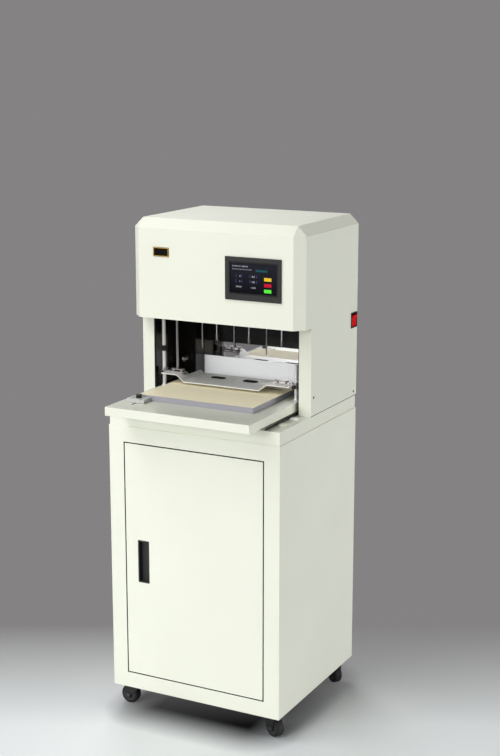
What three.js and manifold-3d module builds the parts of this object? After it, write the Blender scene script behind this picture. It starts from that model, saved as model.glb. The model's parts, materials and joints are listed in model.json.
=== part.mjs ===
// A floor standing three hole thread binding machine, in millimetres, with +Z up.
// The operator faces +Y, X runs to the operator's right, and the wheels stand on Z = 0.
import * as THREE from 'three';
import { ConvexGeometry } from 'three/addons/geometries/ConvexGeometry.js';
import { mergeVertices } from 'three/addons/utils/BufferGeometryUtils.js';
import Module from 'manifold-3d';

const wasm = await Module();
wasm.setup();

// Clearances
const seat = 0.3; // between two pieces that are seated on each other
const running = 0.35; // radial, between a shaft and what turns or slides on it

// Cabinet
const cabinetWidth = 450;
const cabinetDepth = 422;
const cabinetHeight = 657;
const sheet = 1.5; // folded steel of every panel
const flange = 16; // inward folds along panel edges
const trayHeight = 32;
const trayLap = 3.5; // depth of the tray's skirt inside the cabinet's panels
const shelfRise = 368; // thread shelf above the cabinet floor
const shelfSetback = 24; // behind the door
const ventRise = 90; // lowest vent slot above the cabinet floor
const ventWidth = 120;
const ventHeight = 5;
const ventPitch = 14;

// Door
const doorSide = 42.5; // front frame on either side of the door
const doorRise = 41; // front frame under the door
const doorHead = 41; // front frame over the door
const doorDepth = 18;
const doorGap = 3;
const hingeInset = 5; // hinge axis from the door's edge and from its front face
const hingePinRadius = 2;
const handleWidth = 30;
const handleHeight = 105;
const handleEdge = 32.5; // handle from the door's free edge
const handleRise = 235; // handle bottom above the door bottom
const handleWall = 3;
const handleDepth = 15;

// Casters
const wheelRadius = 23;
const tyreGap = 1.2; // between the wheel and the fork's crown
const crownThickness = 5.2;
const bearingHeight = 2.5;
const wheelWidth = 22;
const wheelSides = 32;
const casterTrail = 12;
const casterInsetX = 37; // swivel axis from the cabinet's side
const casterInsetY = 38; // swivel axis from the cabinet's front or back
const casterTurns = { // degrees that each wheel trails from +X at rest
  front_left: 180,
  front_right: -22.6199,
  rear_left: 143.1301,
  rear_right: -36.8699,
};
const axleRadius = 3;
const stemRadius = 4;
const casterPlate = 50;
const casterPlateThickness = 2.5;
const forkWall = 2.5;

// Upper housing
const bayHeight = 209; // open working space over the cabinet
const headHeight = 236;
const headFront = -102; // front face of the head
const columnFront = -51; // front face of the side columns
const columnWidth = 31;
const headChamfer = 22.5;
const lip = 18; // inward fold around the head's open underside
const linerWall = 2;
const bayBack = 118; // front face of the panels behind the working space
const fenceTop = 82; // above the cabinet top, as are the next values
const mirrorTop = 120;
const coverWidth = 41.7; // drive cover in the rear left corner of the bay
const coverDepth = 46;

// Table, paper bed and gauge
const tableGap = 4.7; // between the table and the lining on either side
const tableOverhang = 75; // in front of the cabinet
const tableThickness = 21;
const tableRise = 9; // between the cabinet top and the table's underside
const tableSkin = 2;
const footInset = 40; // feet from the table's ends
const bedPostGap = 29.5; // bed's ends inside the guide posts, on average
const bedDepth = 219;
const bedBehindHoles = 25;
const bedThickness = 13;
const bedCentre = -2.5;
const gaugeInset = 7; // middle of the gauge from the bed's left end
const gaugeWidth = 46;
const gaugeDepth = 32;
const gaugeHeight = 9;
const gaugeTravel = 30;

// Drills and needles
const holeCount = 3;
const needleOffCentre = 3.5; // needles from the middle between two drills
const firstNeedleInset = 59; // from the bed's left end
const lastDrillInset = 24; // from the bed's right end
const workLine = 5; // Y of every hole
const drillTipRise = 145; // above the cabinet top at rest, as is the needles'
const needleTipRise = 121;
const crossheadThickness = 10;
const drillMotorHeight = 33;
const needleBarThickness = 9;
const drillRadius = 2;
const drillTipRadius = 2.8;
const drillTipLength = 16;
const drillNeckLength = 22; // shank's taper under the crosshead
const needleRadius = 1.6;

// Hook bar under the cabinet top
const hookBarLeft = 26; // beyond the first needle
const hookBarRight = 48; // beyond the last drill
const hookBarGap = 5; // behind the needles' slot
const hookBarSize = 10;
const hookBarDrop = 8; // under the cabinet top
const hookLugWidth = 12;

// Press plate
const pressPlateThickness = 2.4;
const paperGap = 5.8; // between the bed and the press plate
const tabStep = 12.5; // raised ends above the middle
const leftTab = 42; // length of the raised ends
const rightTab = 60;
const tabPostGap = 6; // raised ends stop short of the posts' axes
const pressSlope = 20; // run of the sloping parts
const pressFront = -57;
const pressFold = -20; // the middle slopes down in front of this line
const pressDip = 3;
const pressBack = 44;
const tabBack = -12;
const postInset = 9; // posts from the table's ends
const postY = -31.5;
const postRadius = 4.5;
const postStand = 49; // posts above the press plate's raised ends
const bridgeInset = 37; // bridges of the brackets from the posts
const rodRadius = 3;
const stopRodGap = 14; // stop rod above the left post
const liftRodRise = 40; // lift rod's end above the base plate

// Head mechanism
const basePlate = 6;
const railRadius = 6;
const railRise = 14; // rail axis above the base plate
const railFrontInset = 32; // front rail behind the head's front
const railBackY = 85;
const railWall = 6; // of the rails' end blocks, above the rail
const carriageOverhang = 38; // beyond the outer needle and drill
const carriageLip = 15; // in front of the front rail and behind the rear one
const carriagePlate = 8;
const columnRadius = 5;
const guideOverhang = 13; // columns beyond the outer drills
const drillScrewInset = 40; // screw behind the head's front
const guideFrontInset = 67; // front columns behind the head's front
const guideBackY = 45;
const liftPlate = 6;
const topPlateLip = 15; // beyond the columns' axes
const screwRadius = 5;
const needleScrewY = 72;
const motorRadius = 15;
const liftMotor = 42;
const liftMotorHeight = 28;
const headroom = 8.7; // over the lift motors

// Screen, nameplate, switch and power inlet
const bezelWidth = 144;
const bezelHeight = 100;
const bezelSide = 51; // bezel from the machine's right side
const bezelTop = 75; // bezel under the head's top
const bezelProud = 3.5;
const bezelRim = 8;
const screenWidth = 120;
const screenHeight = 70;
const screenLeft = 13; // screen from the bezel's left end
const screenRise = 17; // screen above the bezel's lower edge
const screenRecess = 3;
const screenGap = 2; // between the screen's body and the carriage
const nameplateWidth = 42;
const nameplateHeight = 22;
const nameplateSide = 63; // from the machine's left side
const nameplateTop = 66; // under the head's top
const nameplateThickness = 1.2;
const switchWidth = 34;
const switchHeight = 38;
const switchBack = 4; // from the machine's back
const switchOver = 0.5; // switch top above the head's underside
const switchRim = 1.5;
const switchPlate = 1.7;
const switchDepth = 20;
const rockerWall = 1;
const rockerInset = 6; // rocker's pivot inside the side panel
const rockerCrest = 9;
const rockerTilt = 8;
const inletWidth = 48;
const inletHeight = 28;
const inletRise = 36; // above the cabinet top
const inletDepth = 20;

// Levels and places, all worked out from the sizes above
const casterHeight = 2 * wheelRadius + tyreGap + crownThickness + seat + bearingHeight
  + casterPlateThickness + seat;
const bodyBottom = casterHeight;
const bodyTop = bodyBottom + cabinetHeight;
const deck = bodyTop + trayHeight;
const bayTop = deck + bayHeight;
const headTop = bayTop + headHeight;
const tableBottom = deck + tableRise;
const tableTop = tableBottom + tableThickness;
const bedTop = tableTop + seat + bedThickness;
const webTop = bedTop + paperGap + pressDip + pressPlateThickness;
const tabTop = webTop + tabStep;
const postTop = tabTop + postStand;
const halfWidth = cabinetWidth / 2;
const front = -cabinetDepth / 2;
const back = cabinetDepth / 2;
const linerX = halfWidth - columnWidth - seat; // outside of the bay's lining
const tableHalf = linerX - linerWall - tableGap;
const tableFront = front - tableOverhang;
const tableBack = bayBack - 2;
const postX = tableHalf - postInset;
const bridgeX = postX - bridgeInset;
const bedHalf = postX - bedPostGap;
const bedX = [bedCentre - bedHalf, bedCentre + bedHalf];
const bedFront = workLine + bedBehindHoles - bedDepth;
const baseTop = bayTop + sheet + seat + basePlate;
const railZ = baseTop + railRise;
const railFrontY = headFront + railFrontInset;
const carriageBottom = railZ + railRadius + railWall;
const carriageTop = carriageBottom + carriagePlate;
const liftTop = headTop - sheet - headroom - liftMotorHeight - liftPlate;
const drillScrewY = headFront + drillScrewInset;
const guideFrontY = headFront + guideFrontInset;

// Materials
function paint(color, roughness, metalness = 0) {
  return new THREE.MeshStandardMaterial({ color, roughness, metalness });
}
const cream = paint(0xf1f3e8, 0.45);
const blackGloss = paint(0x141414, 0.12);
const blackPlastic = paint(0x1c1c1c, 0.5);
const greyPlastic = paint(0x30302e, 0.45);
const chrome = paint(0xd9d9dc, 0.12, 1);
const steel = paint(0x9c9ea2, 0.32, 1);
const aluminium = paint(0xc4c6c6, 0.38, 1);
const mirror = paint(0xe6e6ea, 0.04, 1);
const palePanel = paint(0xdedfe1, 0.4);
const pressSteel = paint(0xa9aaa4, 0.35, 1);
const redPlastic = paint(0xd01222, 0.3);
const screenGlass = paint(0x22232a, 0.1);
const bedGrey = paint(0x9b9ba3, 0.6);
const rubber = paint(0x161616, 0.8);
const thread = paint(0xf4f2ea, 0.9);
const nameplateBlack = paint(0x0e0d0b, 0.3);

// Simple shapes: spans are [low, high]
function block(x, y, z) {
  const geometry = new THREE.BoxGeometry(x[1] - x[0], y[1] - y[0], z[1] - z[0]);
  geometry.translate((x[0] + x[1]) / 2, (y[0] + y[1]) / 2, (z[0] + z[1]) / 2);
  return geometry;
}

function rodX(radius, x, y, z, sides = 20) {
  const geometry = new THREE.CylinderGeometry(radius, radius, x[1] - x[0], sides);
  geometry.rotateZ(Math.PI / 2);
  geometry.translate((x[0] + x[1]) / 2, y, z);
  return geometry;
}

function rodY(radius, x, y, z, sides = 20) {
  const geometry = new THREE.CylinderGeometry(radius, radius, y[1] - y[0], sides);
  geometry.translate(x, (y[0] + y[1]) / 2, z);
  return geometry;
}

function rodZ(radius, x, y, z, sides = 20) {
  const geometry = new THREE.CylinderGeometry(radius, radius, z[1] - z[0], sides);
  geometry.rotateX(Math.PI / 2);
  geometry.translate(x, y, (z[0] + z[1]) / 2);
  return geometry;
}

// A round piece turned about Z from (radius, height) points, closed on the axis
function turned(points, x, y, sides = 20) {
  const profile = points.map(([radius, height]) => new THREE.Vector2(radius, height));
  const geometry = new THREE.LatheGeometry(profile, sides);
  geometry.rotateX(Math.PI / 2);
  geometry.translate(x, y, 0);
  return geometry;
}

function shapeOf(points) {
  return new THREE.Shape(points.map(([u, v]) => new THREE.Vector2(u, v)));
}

function prismZ(shape, z, curveSegments = 8) {
  const options = { depth: z[1] - z[0], bevelEnabled: false, curveSegments };
  const geometry = new THREE.ExtrudeGeometry(shape, options);
  geometry.translate(0, 0, z[0]);
  return geometry;
}

// The outline is given as (x, z) points
function prismY(shape, y) {
  const options = { depth: y[1] - y[0], bevelEnabled: false };
  const geometry = new THREE.ExtrudeGeometry(shape, options);
  geometry.rotateX(Math.PI / 2);
  geometry.translate(0, y[1], 0);
  return geometry;
}

// A slot with round ends, long in X, cut along Z
function slotZ(x, width, y, z) {
  const r = width / 2;
  const shape = new THREE.Shape();
  shape.absarc(x[1] - r, y, r, -Math.PI / 2, Math.PI / 2);
  shape.absarc(x[0] + r, y, r, Math.PI / 2, 1.5 * Math.PI);
  return prismZ(shape, z);
}

// Joining and cutting
function toSolid(geometry) {
  const bare = geometry.clone();
  bare.deleteAttribute('normal');
  bare.deleteAttribute('uv');
  const merged = mergeVertices(bare, 1e-4);
  const index = merged.index.array;
  const triVerts = [];
  for (let i = 0; i < index.length; i += 3) {
    const [a, b, c] = [index[i], index[i + 1], index[i + 2]];
    if (a !== b && b !== c && c !== a) triVerts.push(a, b, c);
  }
  return new wasm.Manifold(new wasm.Mesh({
    numProp: 3,
    vertProperties: Float32Array.from(merged.attributes.position.array),
    triVerts: Uint32Array.from(triVerts),
  }));
}

function toGeometry(solid) {
  const mesh = solid.getMesh();
  const geometry = new THREE.BufferGeometry();
  geometry.setAttribute('position', new THREE.BufferAttribute(mesh.vertProperties, 3));
  geometry.setIndex(new THREE.BufferAttribute(mesh.triVerts, 1));
  geometry.computeVertexNormals();
  return geometry;
}

function join(...geometries) {
  const solids = geometries.map(toSolid);
  return toGeometry(solids.reduce((whole, solid) => whole.add(solid)));
}

function cut(body, ...tools) {
  const solids = tools.map(toSolid);
  return toGeometry(solids.reduce((whole, solid) => whole.subtract(solid), toSolid(body)));
}

// The same span on the other side of the machine where side is -1
function sided(side, low, high) {
  return side > 0 ? [low, high] : [-high, -low];
}

function grow(span, by) {
  return [span[0] - by, span[1] + by];
}

// The holes lie evenly between the first needle and the last drill
const lastDrill = bedX[1] - lastDrillInset;
const firstNeedle = bedX[0] + firstNeedleInset;
const holePitch = (lastDrill - firstNeedle + needleOffCentre) / (holeCount - 0.5);
const shift = holePitch / 2 - needleOffCentre; // needles stand this far to the left of their drills
const drillXs = [];
for (let i = 0; i < holeCount; i += 1) {
  drillXs.push(lastDrill - (holeCount - 1 - i) * holePitch);
}
const needleXs = drillXs.map((x) => x - shift);
const drillCentre = (drillXs[0] + lastDrill) / 2;
const guideLeft = drillXs[0] - guideOverhang;
const guideRight = lastDrill + guideOverhang;
const carriageLeft = needleXs[0] - carriageOverhang;
const carriageRight = lastDrill + carriageOverhang;

// Lower cabinet
const doorX = [-halfWidth + doorSide, halfWidth - doorSide];
const doorZ = [bodyBottom + doorRise, bodyTop - doorHead];
const openingX = grow(doorX, doorGap);
const openingZ = grow(doorZ, doorGap);
const hingeX = doorX[1] - hingeInset;
const hingeY = front + hingeInset;

// The tray stands inside the panels on these ledges
const trayBottom = bodyTop - trayLap;
const ledgeZ = [trayBottom - seat - sheet, trayBottom - seat];

function cabinetSidePanel(side) {
  const y = [front + sheet + seat, back - sheet - seat];
  return join(
    block(sided(side, halfWidth - sheet, halfWidth), y, [bodyBottom, bodyTop]),
    block(sided(side, halfWidth - flange, halfWidth - sheet / 2), y, ledgeZ),
  );
}

function cabinetBottomPanel() {
  const inner = halfWidth - sheet - seat;
  const y = [front + sheet + seat, back - sheet - seat];
  return join(
    block([-inner, inner], y, [bodyBottom, bodyBottom + sheet]),
    block([-inner, -inner + sheet], y, [bodyBottom, bodyBottom + flange]),
    block([inner - sheet, inner], y, [bodyBottom, bodyBottom + flange]),
  );
}

function cabinetBackPanel() {
  const slotCount = 7;
  const slots = [];
  for (let i = 0; i < slotCount; i += 1) {
    const z = bodyBottom + ventRise + i * ventPitch;
    slots.push(block([-ventWidth / 2, ventWidth / 2], [back - sheet - 1, back + 1], [z, z + ventHeight]));
  }
  const skin = block([-halfWidth, halfWidth], [back - sheet, back], [bodyBottom, bodyTop]);
  return cut(skin, ...slots);
}

function cabinetFrontFrame() {
  const jambDepth = doorDepth + 6;
  const ledge = halfWidth - flange - seat;
  const frame = join(
    block([-halfWidth, halfWidth], [front, front + sheet], [bodyBottom, bodyTop]),
    block(grow(openingX, sheet), [front, front + jambDepth], grow(openingZ, sheet)),
    block([-ledge, ledge], [front, front + flange], ledgeZ),
  );
  const topHole = rodZ(hingePinRadius + running, hingeX, hingeY, [openingZ[1] - 1, openingZ[1] + 3]);
  const lowHole = rodZ(hingePinRadius + running, hingeX, hingeY, [openingZ[0] - 3, openingZ[0] + 1]);
  const opening = block(openingX, [front - 1, front + jambDepth + 1], openingZ);
  return cut(frame, opening, topHole, lowHole);
}

const handleX = [doorX[0] + handleEdge, doorX[0] + handleEdge + handleWidth];
const handleZ = [doorZ[0] + handleRise, doorZ[0] + handleRise + handleHeight];

function cabinetDoor() {
  const pan = block(doorX, [front, front + doorDepth], doorZ);
  const hollow = block(grow(doorX, -sheet), [front + sheet, front + doorDepth + 1], grow(doorZ, -sheet));
  const handleHole = block(grow(handleX, seat), [front - 1, front + 3], grow(handleZ, seat));
  const pinHole = rodZ(hingePinRadius + running, hingeX, hingeY, grow(doorZ, 1));
  return cut(pan, hollow, handleHole, pinHole);
}

function doorHandle() {
  const proud = 0.5;
  const cup = block(handleX, [front - proud, front + handleDepth], handleZ);
  const recess = block(
    grow(handleX, -handleWall),
    [front - proud - 1, front + handleDepth - handleWall],
    grow(handleZ, -handleWall),
  );
  return cut(cup, recess);
}

// A headed pin through the frame's fold into the hollow of the door
function hingePin(side) {
  const headHeight = 2;
  const reach = 12;
  const foldZ = side > 0 ? openingZ[1] + sheet + seat : openingZ[0] - sheet - seat;
  const doorEdge = side > 0 ? doorZ[1] - reach : doorZ[0] + reach;
  const shaftZ = side > 0 ? [doorEdge, foldZ + headHeight] : [foldZ - headHeight, doorEdge];
  const headZ = side > 0 ? [foldZ, foldZ + headHeight] : [foldZ - headHeight, foldZ];
  return join(
    rodZ(hingePinRadius, hingeX, hingeY, shaftZ, 16),
    rodZ(hingeInset - sheet - seat, hingeX, hingeY, headZ, 16),
  );
}

// Long slot in the cabinet top and the table, for the needles at both of their places
const needleSlotX = [needleXs[0] - 6, drillXs[holeCount - 1] + 6];
const needleSlotY = [workLine - 9, workLine + 9];

// Hook bar and the two lugs that carry it under the cabinet top
const hookBarX = [needleXs[0] - hookBarLeft, drillXs[holeCount - 1] + hookBarRight];
const hookBarY = [needleSlotY[1] + hookBarGap, needleSlotY[1] + hookBarGap + hookBarSize];
const hookBarZ = [deck - hookBarDrop - hookBarSize, deck - hookBarDrop];

function cabinetTopTray() {
  const x = grow([-halfWidth, halfWidth], -sheet - seat);
  const y = grow([front, back], -sheet - seat);
  const pan = cut(
    block(x, y, [trayBottom, deck]),
    block(grow(x, -sheet), grow(y, -sheet), [trayBottom - 1, deck - sheet]),
    block(needleSlotX, needleSlotY, [deck - 5, deck + 1]),
  );
  const lugZ = [hookBarZ[0] - 5, deck - sheet / 2];
  const lugs = [hookBarX[0] + 6, hookBarX[1] - 6 - hookLugWidth].map((x) => cut(
    block([x, x + hookLugWidth], grow(hookBarY, 4), lugZ),
    block([x - 1, x + hookLugWidth + 1], grow(hookBarY, running), grow(hookBarZ, running)),
  ));
  return join(pan, ...lugs);
}

function hookBar() {
  const tip = 6;
  const fingerZ = [hookBarZ[0] + 2, hookBarZ[0] + 6];
  const fingerY = [workLine + needleRadius + 1.4, hookBarY[0] + 1];
  const fingers = drillXs.map((x) => join(
    block([x - 14, x - 8], fingerY, fingerZ),
    block([x - 9, x - 8 + tip], [fingerY[0], fingerY[0] + 2.5], fingerZ),
  ));
  return join(block(hookBarX, hookBarY, hookBarZ), ...fingers);
}

// Thread supply inside the cabinet
const shelfZ = bodyBottom + shelfRise;
const spoolX = -60;
const spoolY = 60;
const spindleRadius = 6;
const spoolHeight = 80;

function threadShelf() {
  const inner = halfWidth - sheet - seat;
  const y = [front + doorDepth + shelfSetback, back - sheet - seat];
  return join(
    block([-inner, inner], y, [shelfZ, shelfZ + sheet]),
    block([-inner, -inner + sheet], y, [shelfZ - flange, shelfZ + sheet]),
    block([inner - sheet, inner], y, [shelfZ - flange, shelfZ + sheet]),
    rodZ(spindleRadius * 3, spoolX, spoolY, [shelfZ, shelfZ + sheet + 3]),
    rodZ(spindleRadius, spoolX, spoolY, [shelfZ, shelfZ + spoolHeight + 20]),
  );
}

function threadSpool() {
  const low = shelfZ + sheet + 3 + seat;
  const high = low + spoolHeight;
  const disc = 3;
  const rim = 40;
  const wound = 34;
  const bore = spindleRadius + running;
  return turned([
    [bore, low], [rim, low], [rim, low + disc], [wound, low + disc], [wound, high - disc],
    [rim, high - disc], [rim, high], [bore, high], [bore, low],
  ], spoolX, spoolY, 32);
}

// Casters: each is modelled with its swivel axis on Z and rolls along X before it is turned
function casterMount() {
  const top = casterHeight - seat;
  const half = casterPlate / 2;
  const plateBottom = top - casterPlateThickness;
  const bearingRadius = 17;
  return cut(
    join(
      block([-half, half], [-half, half], [plateBottom, top]),
      rodZ(bearingRadius, 0, 0, [plateBottom - bearingHeight, plateBottom + 1]),
    ),
    rodZ(stemRadius + running, 0, 0, [plateBottom - bearingHeight - 1, top + 1]),
  );
}

function casterFork() {
  const crownBottom = 2 * wheelRadius + tyreGap;
  const crownTop = crownBottom + crownThickness;
  const inner = wheelWidth / 2 + 0.8;
  const outer = inner + forkWall;
  const cheek = new THREE.Shape();
  const hub = 7;
  cheek.moveTo(-13, crownTop);
  cheek.lineTo(-13, crownBottom - 6);
  cheek.lineTo(casterTrail - hub, wheelRadius);
  cheek.absarc(casterTrail, wheelRadius, hub, Math.PI, 2 * Math.PI);
  cheek.lineTo(casterTrail + 9, crownBottom - 6);
  cheek.lineTo(casterTrail + 9, crownTop);
  return join(
    prismY(cheek, [-outer, -inner]),
    prismY(cheek, [inner, outer]),
    block([-13, casterTrail + 9], [-outer, outer], [crownBottom, crownTop]),
    rodY(axleRadius, casterTrail, [-outer - 1.5, outer + 1.5], wheelRadius, 16),
    rodZ(stemRadius, 0, 0, [crownTop - 2, casterHeight - seat - 1], 16),
  );
}

function casterWheel() {
  const half = wheelWidth / 2;
  const round = 5;
  const bore = axleRadius + running;
  const hub = 9;
  const dish = wheelRadius - 8;
  const profile = [
    [bore, -half], [hub, -half], [hub, -half + 1], [dish, -half + 1], [dish + 1, -half],
    [wheelRadius - round, -half],
    [wheelRadius - round * 0.3, -half + round * 0.3], [wheelRadius, -half + round],
    [wheelRadius, half - round], [wheelRadius - round * 0.3, half - round * 0.3],
    [wheelRadius - round, half],
    [dish + 1, half], [dish, half - 1], [hub, half - 1], [hub, half], [bore, half], [bore, -half],
  ].map(([radius, height]) => new THREE.Vector2(radius / Math.cos(Math.PI / wheelSides), height));
  const geometry = new THREE.LatheGeometry(profile, wheelSides, Math.PI / wheelSides);
  geometry.translate(casterTrail, 0, wheelRadius);
  return geometry;
}

// Upper housing
const sideFront = headFront + headChamfer; // where the head's slanted front corners begin
const sideTop = headTop - headChamfer;

// One sheet makes the side of the head and of the column, with the column's front folded on
function columnPanel(side) {
  const z = [deck + seat, bayTop - seat];
  const inner = halfWidth - columnWidth;
  const skinX = sided(side, halfWidth - sheet, halfWidth);
  return join(
    block(skinX, [columnFront, back], [z[0], bayTop + 1]),
    block(skinX, [sideFront, back], [bayTop, sideTop]),
    block(sided(side, inner, halfWidth), [columnFront, columnFront + sheet], z),
    block(sided(side, inner, inner + sheet), [columnFront, columnFront + flange], z),
    block(
      sided(side, halfWidth - flange, halfWidth),
      [columnFront, back - sheet - seat - 1],
      [z[0], z[0] + sheet],
    ),
  );
}

// Switch on the right side, near the back
const switchY = [back - switchBack - switchWidth, back - switchBack];
const switchZ = [bayTop + switchOver - switchHeight, bayTop + switchOver];

function rightColumnPanel() {
  const hole = block(
    [halfWidth - sheet - 1, halfWidth + 1],
    grow(switchY, -switchRim + seat),
    grow(switchZ, -switchRim + seat),
  );
  return cut(columnPanel(1), hole);
}

const rockerX = halfWidth - rockerInset;
const rockerZ = (switchZ[0] + switchZ[1]) / 2;

function switchBezel() {
  const inner = switchRim + rockerWall;
  return cut(
    join(
      block([halfWidth + seat, halfWidth + seat + switchPlate], switchY, switchZ),
      block([halfWidth - switchDepth, halfWidth + 1], grow(switchY, -switchRim), grow(switchZ, -switchRim)),
    ),
    block(
      [halfWidth - switchDepth + rockerWall, halfWidth + switchPlate + 1],
      grow(switchY, -inner),
      grow(switchZ, -inner),
    ),
  );
}

function powerRocker() {
  const tiltRoom = 2.2;
  const halfHeight = switchHeight / 2 - switchRim - rockerWall - tiltRoom;
  const y = grow(switchY, -switchRim - rockerWall - running);
  const crest = rockerCrest;
  const shape = shapeOf([
    [-4, -halfHeight + 3], [crest, -halfHeight], [crest - 2, 0], [crest, halfHeight], [-4, halfHeight - 3],
  ]);
  const geometry = prismY(shape, y);
  geometry.rotateY(THREE.MathUtils.degToRad(rockerTilt));
  geometry.translate(rockerX, 0, rockerZ);
  return geometry;
}

// The head's outside, or the same form drawn in by a wall's thickness
function headForm(inset, backY, bottomZ) {
  const x = halfWidth - inset;
  const y = headFront + inset;
  const z = headTop - inset;
  const chamfer = headChamfer - (2 - Math.SQRT2) * inset;
  const footprint = [
    [-x, backY], [-x, y + chamfer], [-x + chamfer, y], [x - chamfer, y], [x, y + chamfer], [x, backY],
  ];
  const points = [];
  for (const [px, py] of footprint) {
    points.push(new THREE.Vector3(px, py, bottomZ), new THREE.Vector3(px, py, z - chamfer));
  }
  for (const px of [-x + chamfer, x - chamfer]) {
    points.push(new THREE.Vector3(px, y + chamfer, z), new THREE.Vector3(px, backY, z));
  }
  return new ConvexGeometry(points);
}

// Touch screen on the head's front
const bezelX = [halfWidth - bezelSide - bezelWidth, halfWidth - bezelSide];
const bezelZ = [headTop - bezelTop - bezelHeight, headTop - bezelTop];
const screenX = [bezelX[0] + screenLeft, bezelX[0] + screenLeft + screenWidth];
const screenZ = [bezelZ[0] + screenRise, bezelZ[0] + screenRise + screenHeight];

// Front, top, slanted corners and the fold around the open underside
function headHood() {
  const window = grow([-halfWidth, halfWidth], -lip - sheet);
  const underside = [bayTop - 1, bayTop + sheet + 1];
  const sides = [-1, 1].map((side) => block(
    sided(side, halfWidth - sheet - seat, halfWidth + 1),
    [sideFront - seat, back + 1],
    [bayTop - 1, sideTop + seat],
  ));
  return cut(
    headForm(0, back, bayTop),
    headForm(sheet, back + 10, bayTop + sheet),
    block(window, [headFront + lip + sheet, back + 1], underside),
    block([-halfWidth, halfWidth], [back - sheet - seat, back + 1], underside),
    block(
      grow(bezelX, -bezelRim + seat),
      [headFront - 1, headFront + sheet + 1],
      grow(bezelZ, -bezelRim + seat),
    ),
    ...sides,
  );
}

function screenBezel() {
  const face = headFront - seat;
  const bodyBack = railFrontY - carriageLip - screenGap;
  return cut(
    join(
      block(bezelX, [face - bezelProud, face], bezelZ),
      block(grow(bezelX, -bezelRim), [face - 1, bodyBack], grow(bezelZ, -bezelRim)),
    ),
    block(screenX, [face - bezelProud - 1, face - bezelProud + screenRecess], screenZ),
  );
}

function screenPane() {
  const floor = headFront - seat - bezelProud + screenRecess;
  return block(grow(screenX, -seat), [floor - seat - 1, floor - seat], grow(screenZ, -seat));
}

function nameplate() {
  const left = -halfWidth + nameplateSide;
  const top = headTop - nameplateTop;
  return block(
    [left, left + nameplateWidth],
    [headFront - seat - nameplateThickness, headFront - seat],
    [top - nameplateHeight, top],
  );
}

const inletX = [halfWidth - bezelSide - inletWidth, halfWidth - bezelSide];
const inletZ = [deck + inletRise, deck + inletRise + inletHeight];

// Closes the head and the working space from behind
function rearCover() {
  const x = halfWidth - sheet - seat;
  const top = headTop - sheet - seat;
  const chamfer = headChamfer - (2 - Math.SQRT2) * (sheet + seat);
  const outline = shapeOf([
    [-x, deck + seat], [x, deck + seat], [x, top - chamfer], [x - chamfer, top],
    [-x + chamfer, top], [-x, top - chamfer],
  ]);
  const slotCount = 8;
  const slotX = [-ventWidth * 2 / 3, ventWidth * 2 / 3];
  const slotY = [back - sheet - 1, back + 1];
  const tools = [block(grow(inletX, seat), slotY, grow(inletZ, seat))];
  for (let i = 0; i < slotCount; i += 1) {
    const z = bayTop + 60 + i * (ventPitch - 2);
    tools.push(block(slotX, slotY, [z, z + ventHeight - 1]));
  }
  return cut(prismY(outline, [back - sheet, back]), ...tools);
}

function powerInlet() {
  return cut(
    block(inletX, [back - inletDepth, back], inletZ),
    block(grow(inletX, -9), [back - 15, back + 1], grow(inletZ, -5)),
  );
}

// Black U-shaped lining of the bay: two cheeks, the beam over the mirror and the drive cover
function bayLiner() {
  const z = [deck + seat, baseTop - basePlate - seat];
  const y = [columnFront + sheet + seat, bayBack + linerWall];
  const cheeks = [-1, 1].map((side) => block(sided(side, linerX - linerWall, linerX), y, z));
  const beam = block([-linerX, linerX], [bayBack, bayBack + linerWall], [deck + mirrorTop + seat, z[1]]);
  const drive = block(
    [-linerX, -linerX + linerWall + coverWidth],
    [bayBack + linerWall - coverDepth, bayBack + linerWall],
    [tableTop + seat, z[1]],
  );
  return join(...cheeks, beam, drive);
}

const panelX = [-linerX + linerWall + coverWidth + seat, linerX - linerWall - seat];

function rearMirror() {
  return block(panelX, [bayBack, bayBack + linerWall], [deck + fenceTop + seat, deck + mirrorTop]);
}

function rearFence() {
  return block(panelX, [bayBack, bayBack + linerWall], [deck + seat, deck + fenceTop]);
}

// Carries the mechanism on the head's inward folds
function headBasePlate() {
  const x = halfWidth - sheet - seat;
  const y = headFront + sheet + seat;
  const chamfer = headChamfer - (2 - Math.SQRT2) * (sheet + seat);
  const outline = shapeOf([
    [-x, back - sheet - seat], [-x, y + chamfer], [-x + chamfer, y],
    [x - chamfer, y], [x, y + chamfer], [x, back - sheet - seat],
  ]);
  const window = block(
    [needleXs[0] - 7, drillXs[holeCount - 1] + shift + 8],
    [workLine - 10, workLine + 10],
    [bayTop - 1, baseTop + 1],
  );
  const rodHole = rodZ(rodRadius + running, -bridgeX, postY, [bayTop - 1, baseTop + 1]);
  return cut(prismZ(outline, [baseTop - basePlate, baseTop]), window, rodHole);
}

// Table
const gaugeX = bedX[0] + gaugeInset; // middle of the gauge and of its slot
const gaugeBack = bedFront - 0.5;
const studRadius = 2.7;
const studY = gaugeBack - gaugeDepth / 2;

function workTable() {
  const x = [-tableHalf, tableHalf];
  const y = [tableFront, tableBack];
  const pan = cut(
    block(x, y, [tableBottom, tableTop]),
    block(grow(x, -sheet), grow(y, -sheet), [tableBottom - 1, tableTop - tableSkin]),
  );
  const footX = tableHalf - footInset;
  const feet = [-1, 1].map((side) => block(
    sided(side, footX - 8, footX + 8),
    [front + 20, tableBack - 20],
    [deck + seat, tableTop - tableSkin / 2],
  ));
  const slot = block(needleSlotX, needleSlotY, [tableTop - 5, tableTop + 1]);
  const gaugeSlot = block(
    [gaugeX - studRadius - running, gaugeX + studRadius + running],
    [studY - studRadius - gaugeTravel - running, studY + studRadius + running],
    [tableTop - 5, tableTop + 1],
  );
  return cut(join(pan, ...feet), slot, gaugeSlot);
}

function paperBed() {
  const slots = needleXs.map((x) => slotZ([x - 4, x + shift + 4], 8, workLine, [tableTop - 1, bedTop + 1]));
  return cut(block(bedX, [bedFront, bedFront + bedDepth], [tableTop + seat, bedTop]), ...slots);
}

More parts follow.
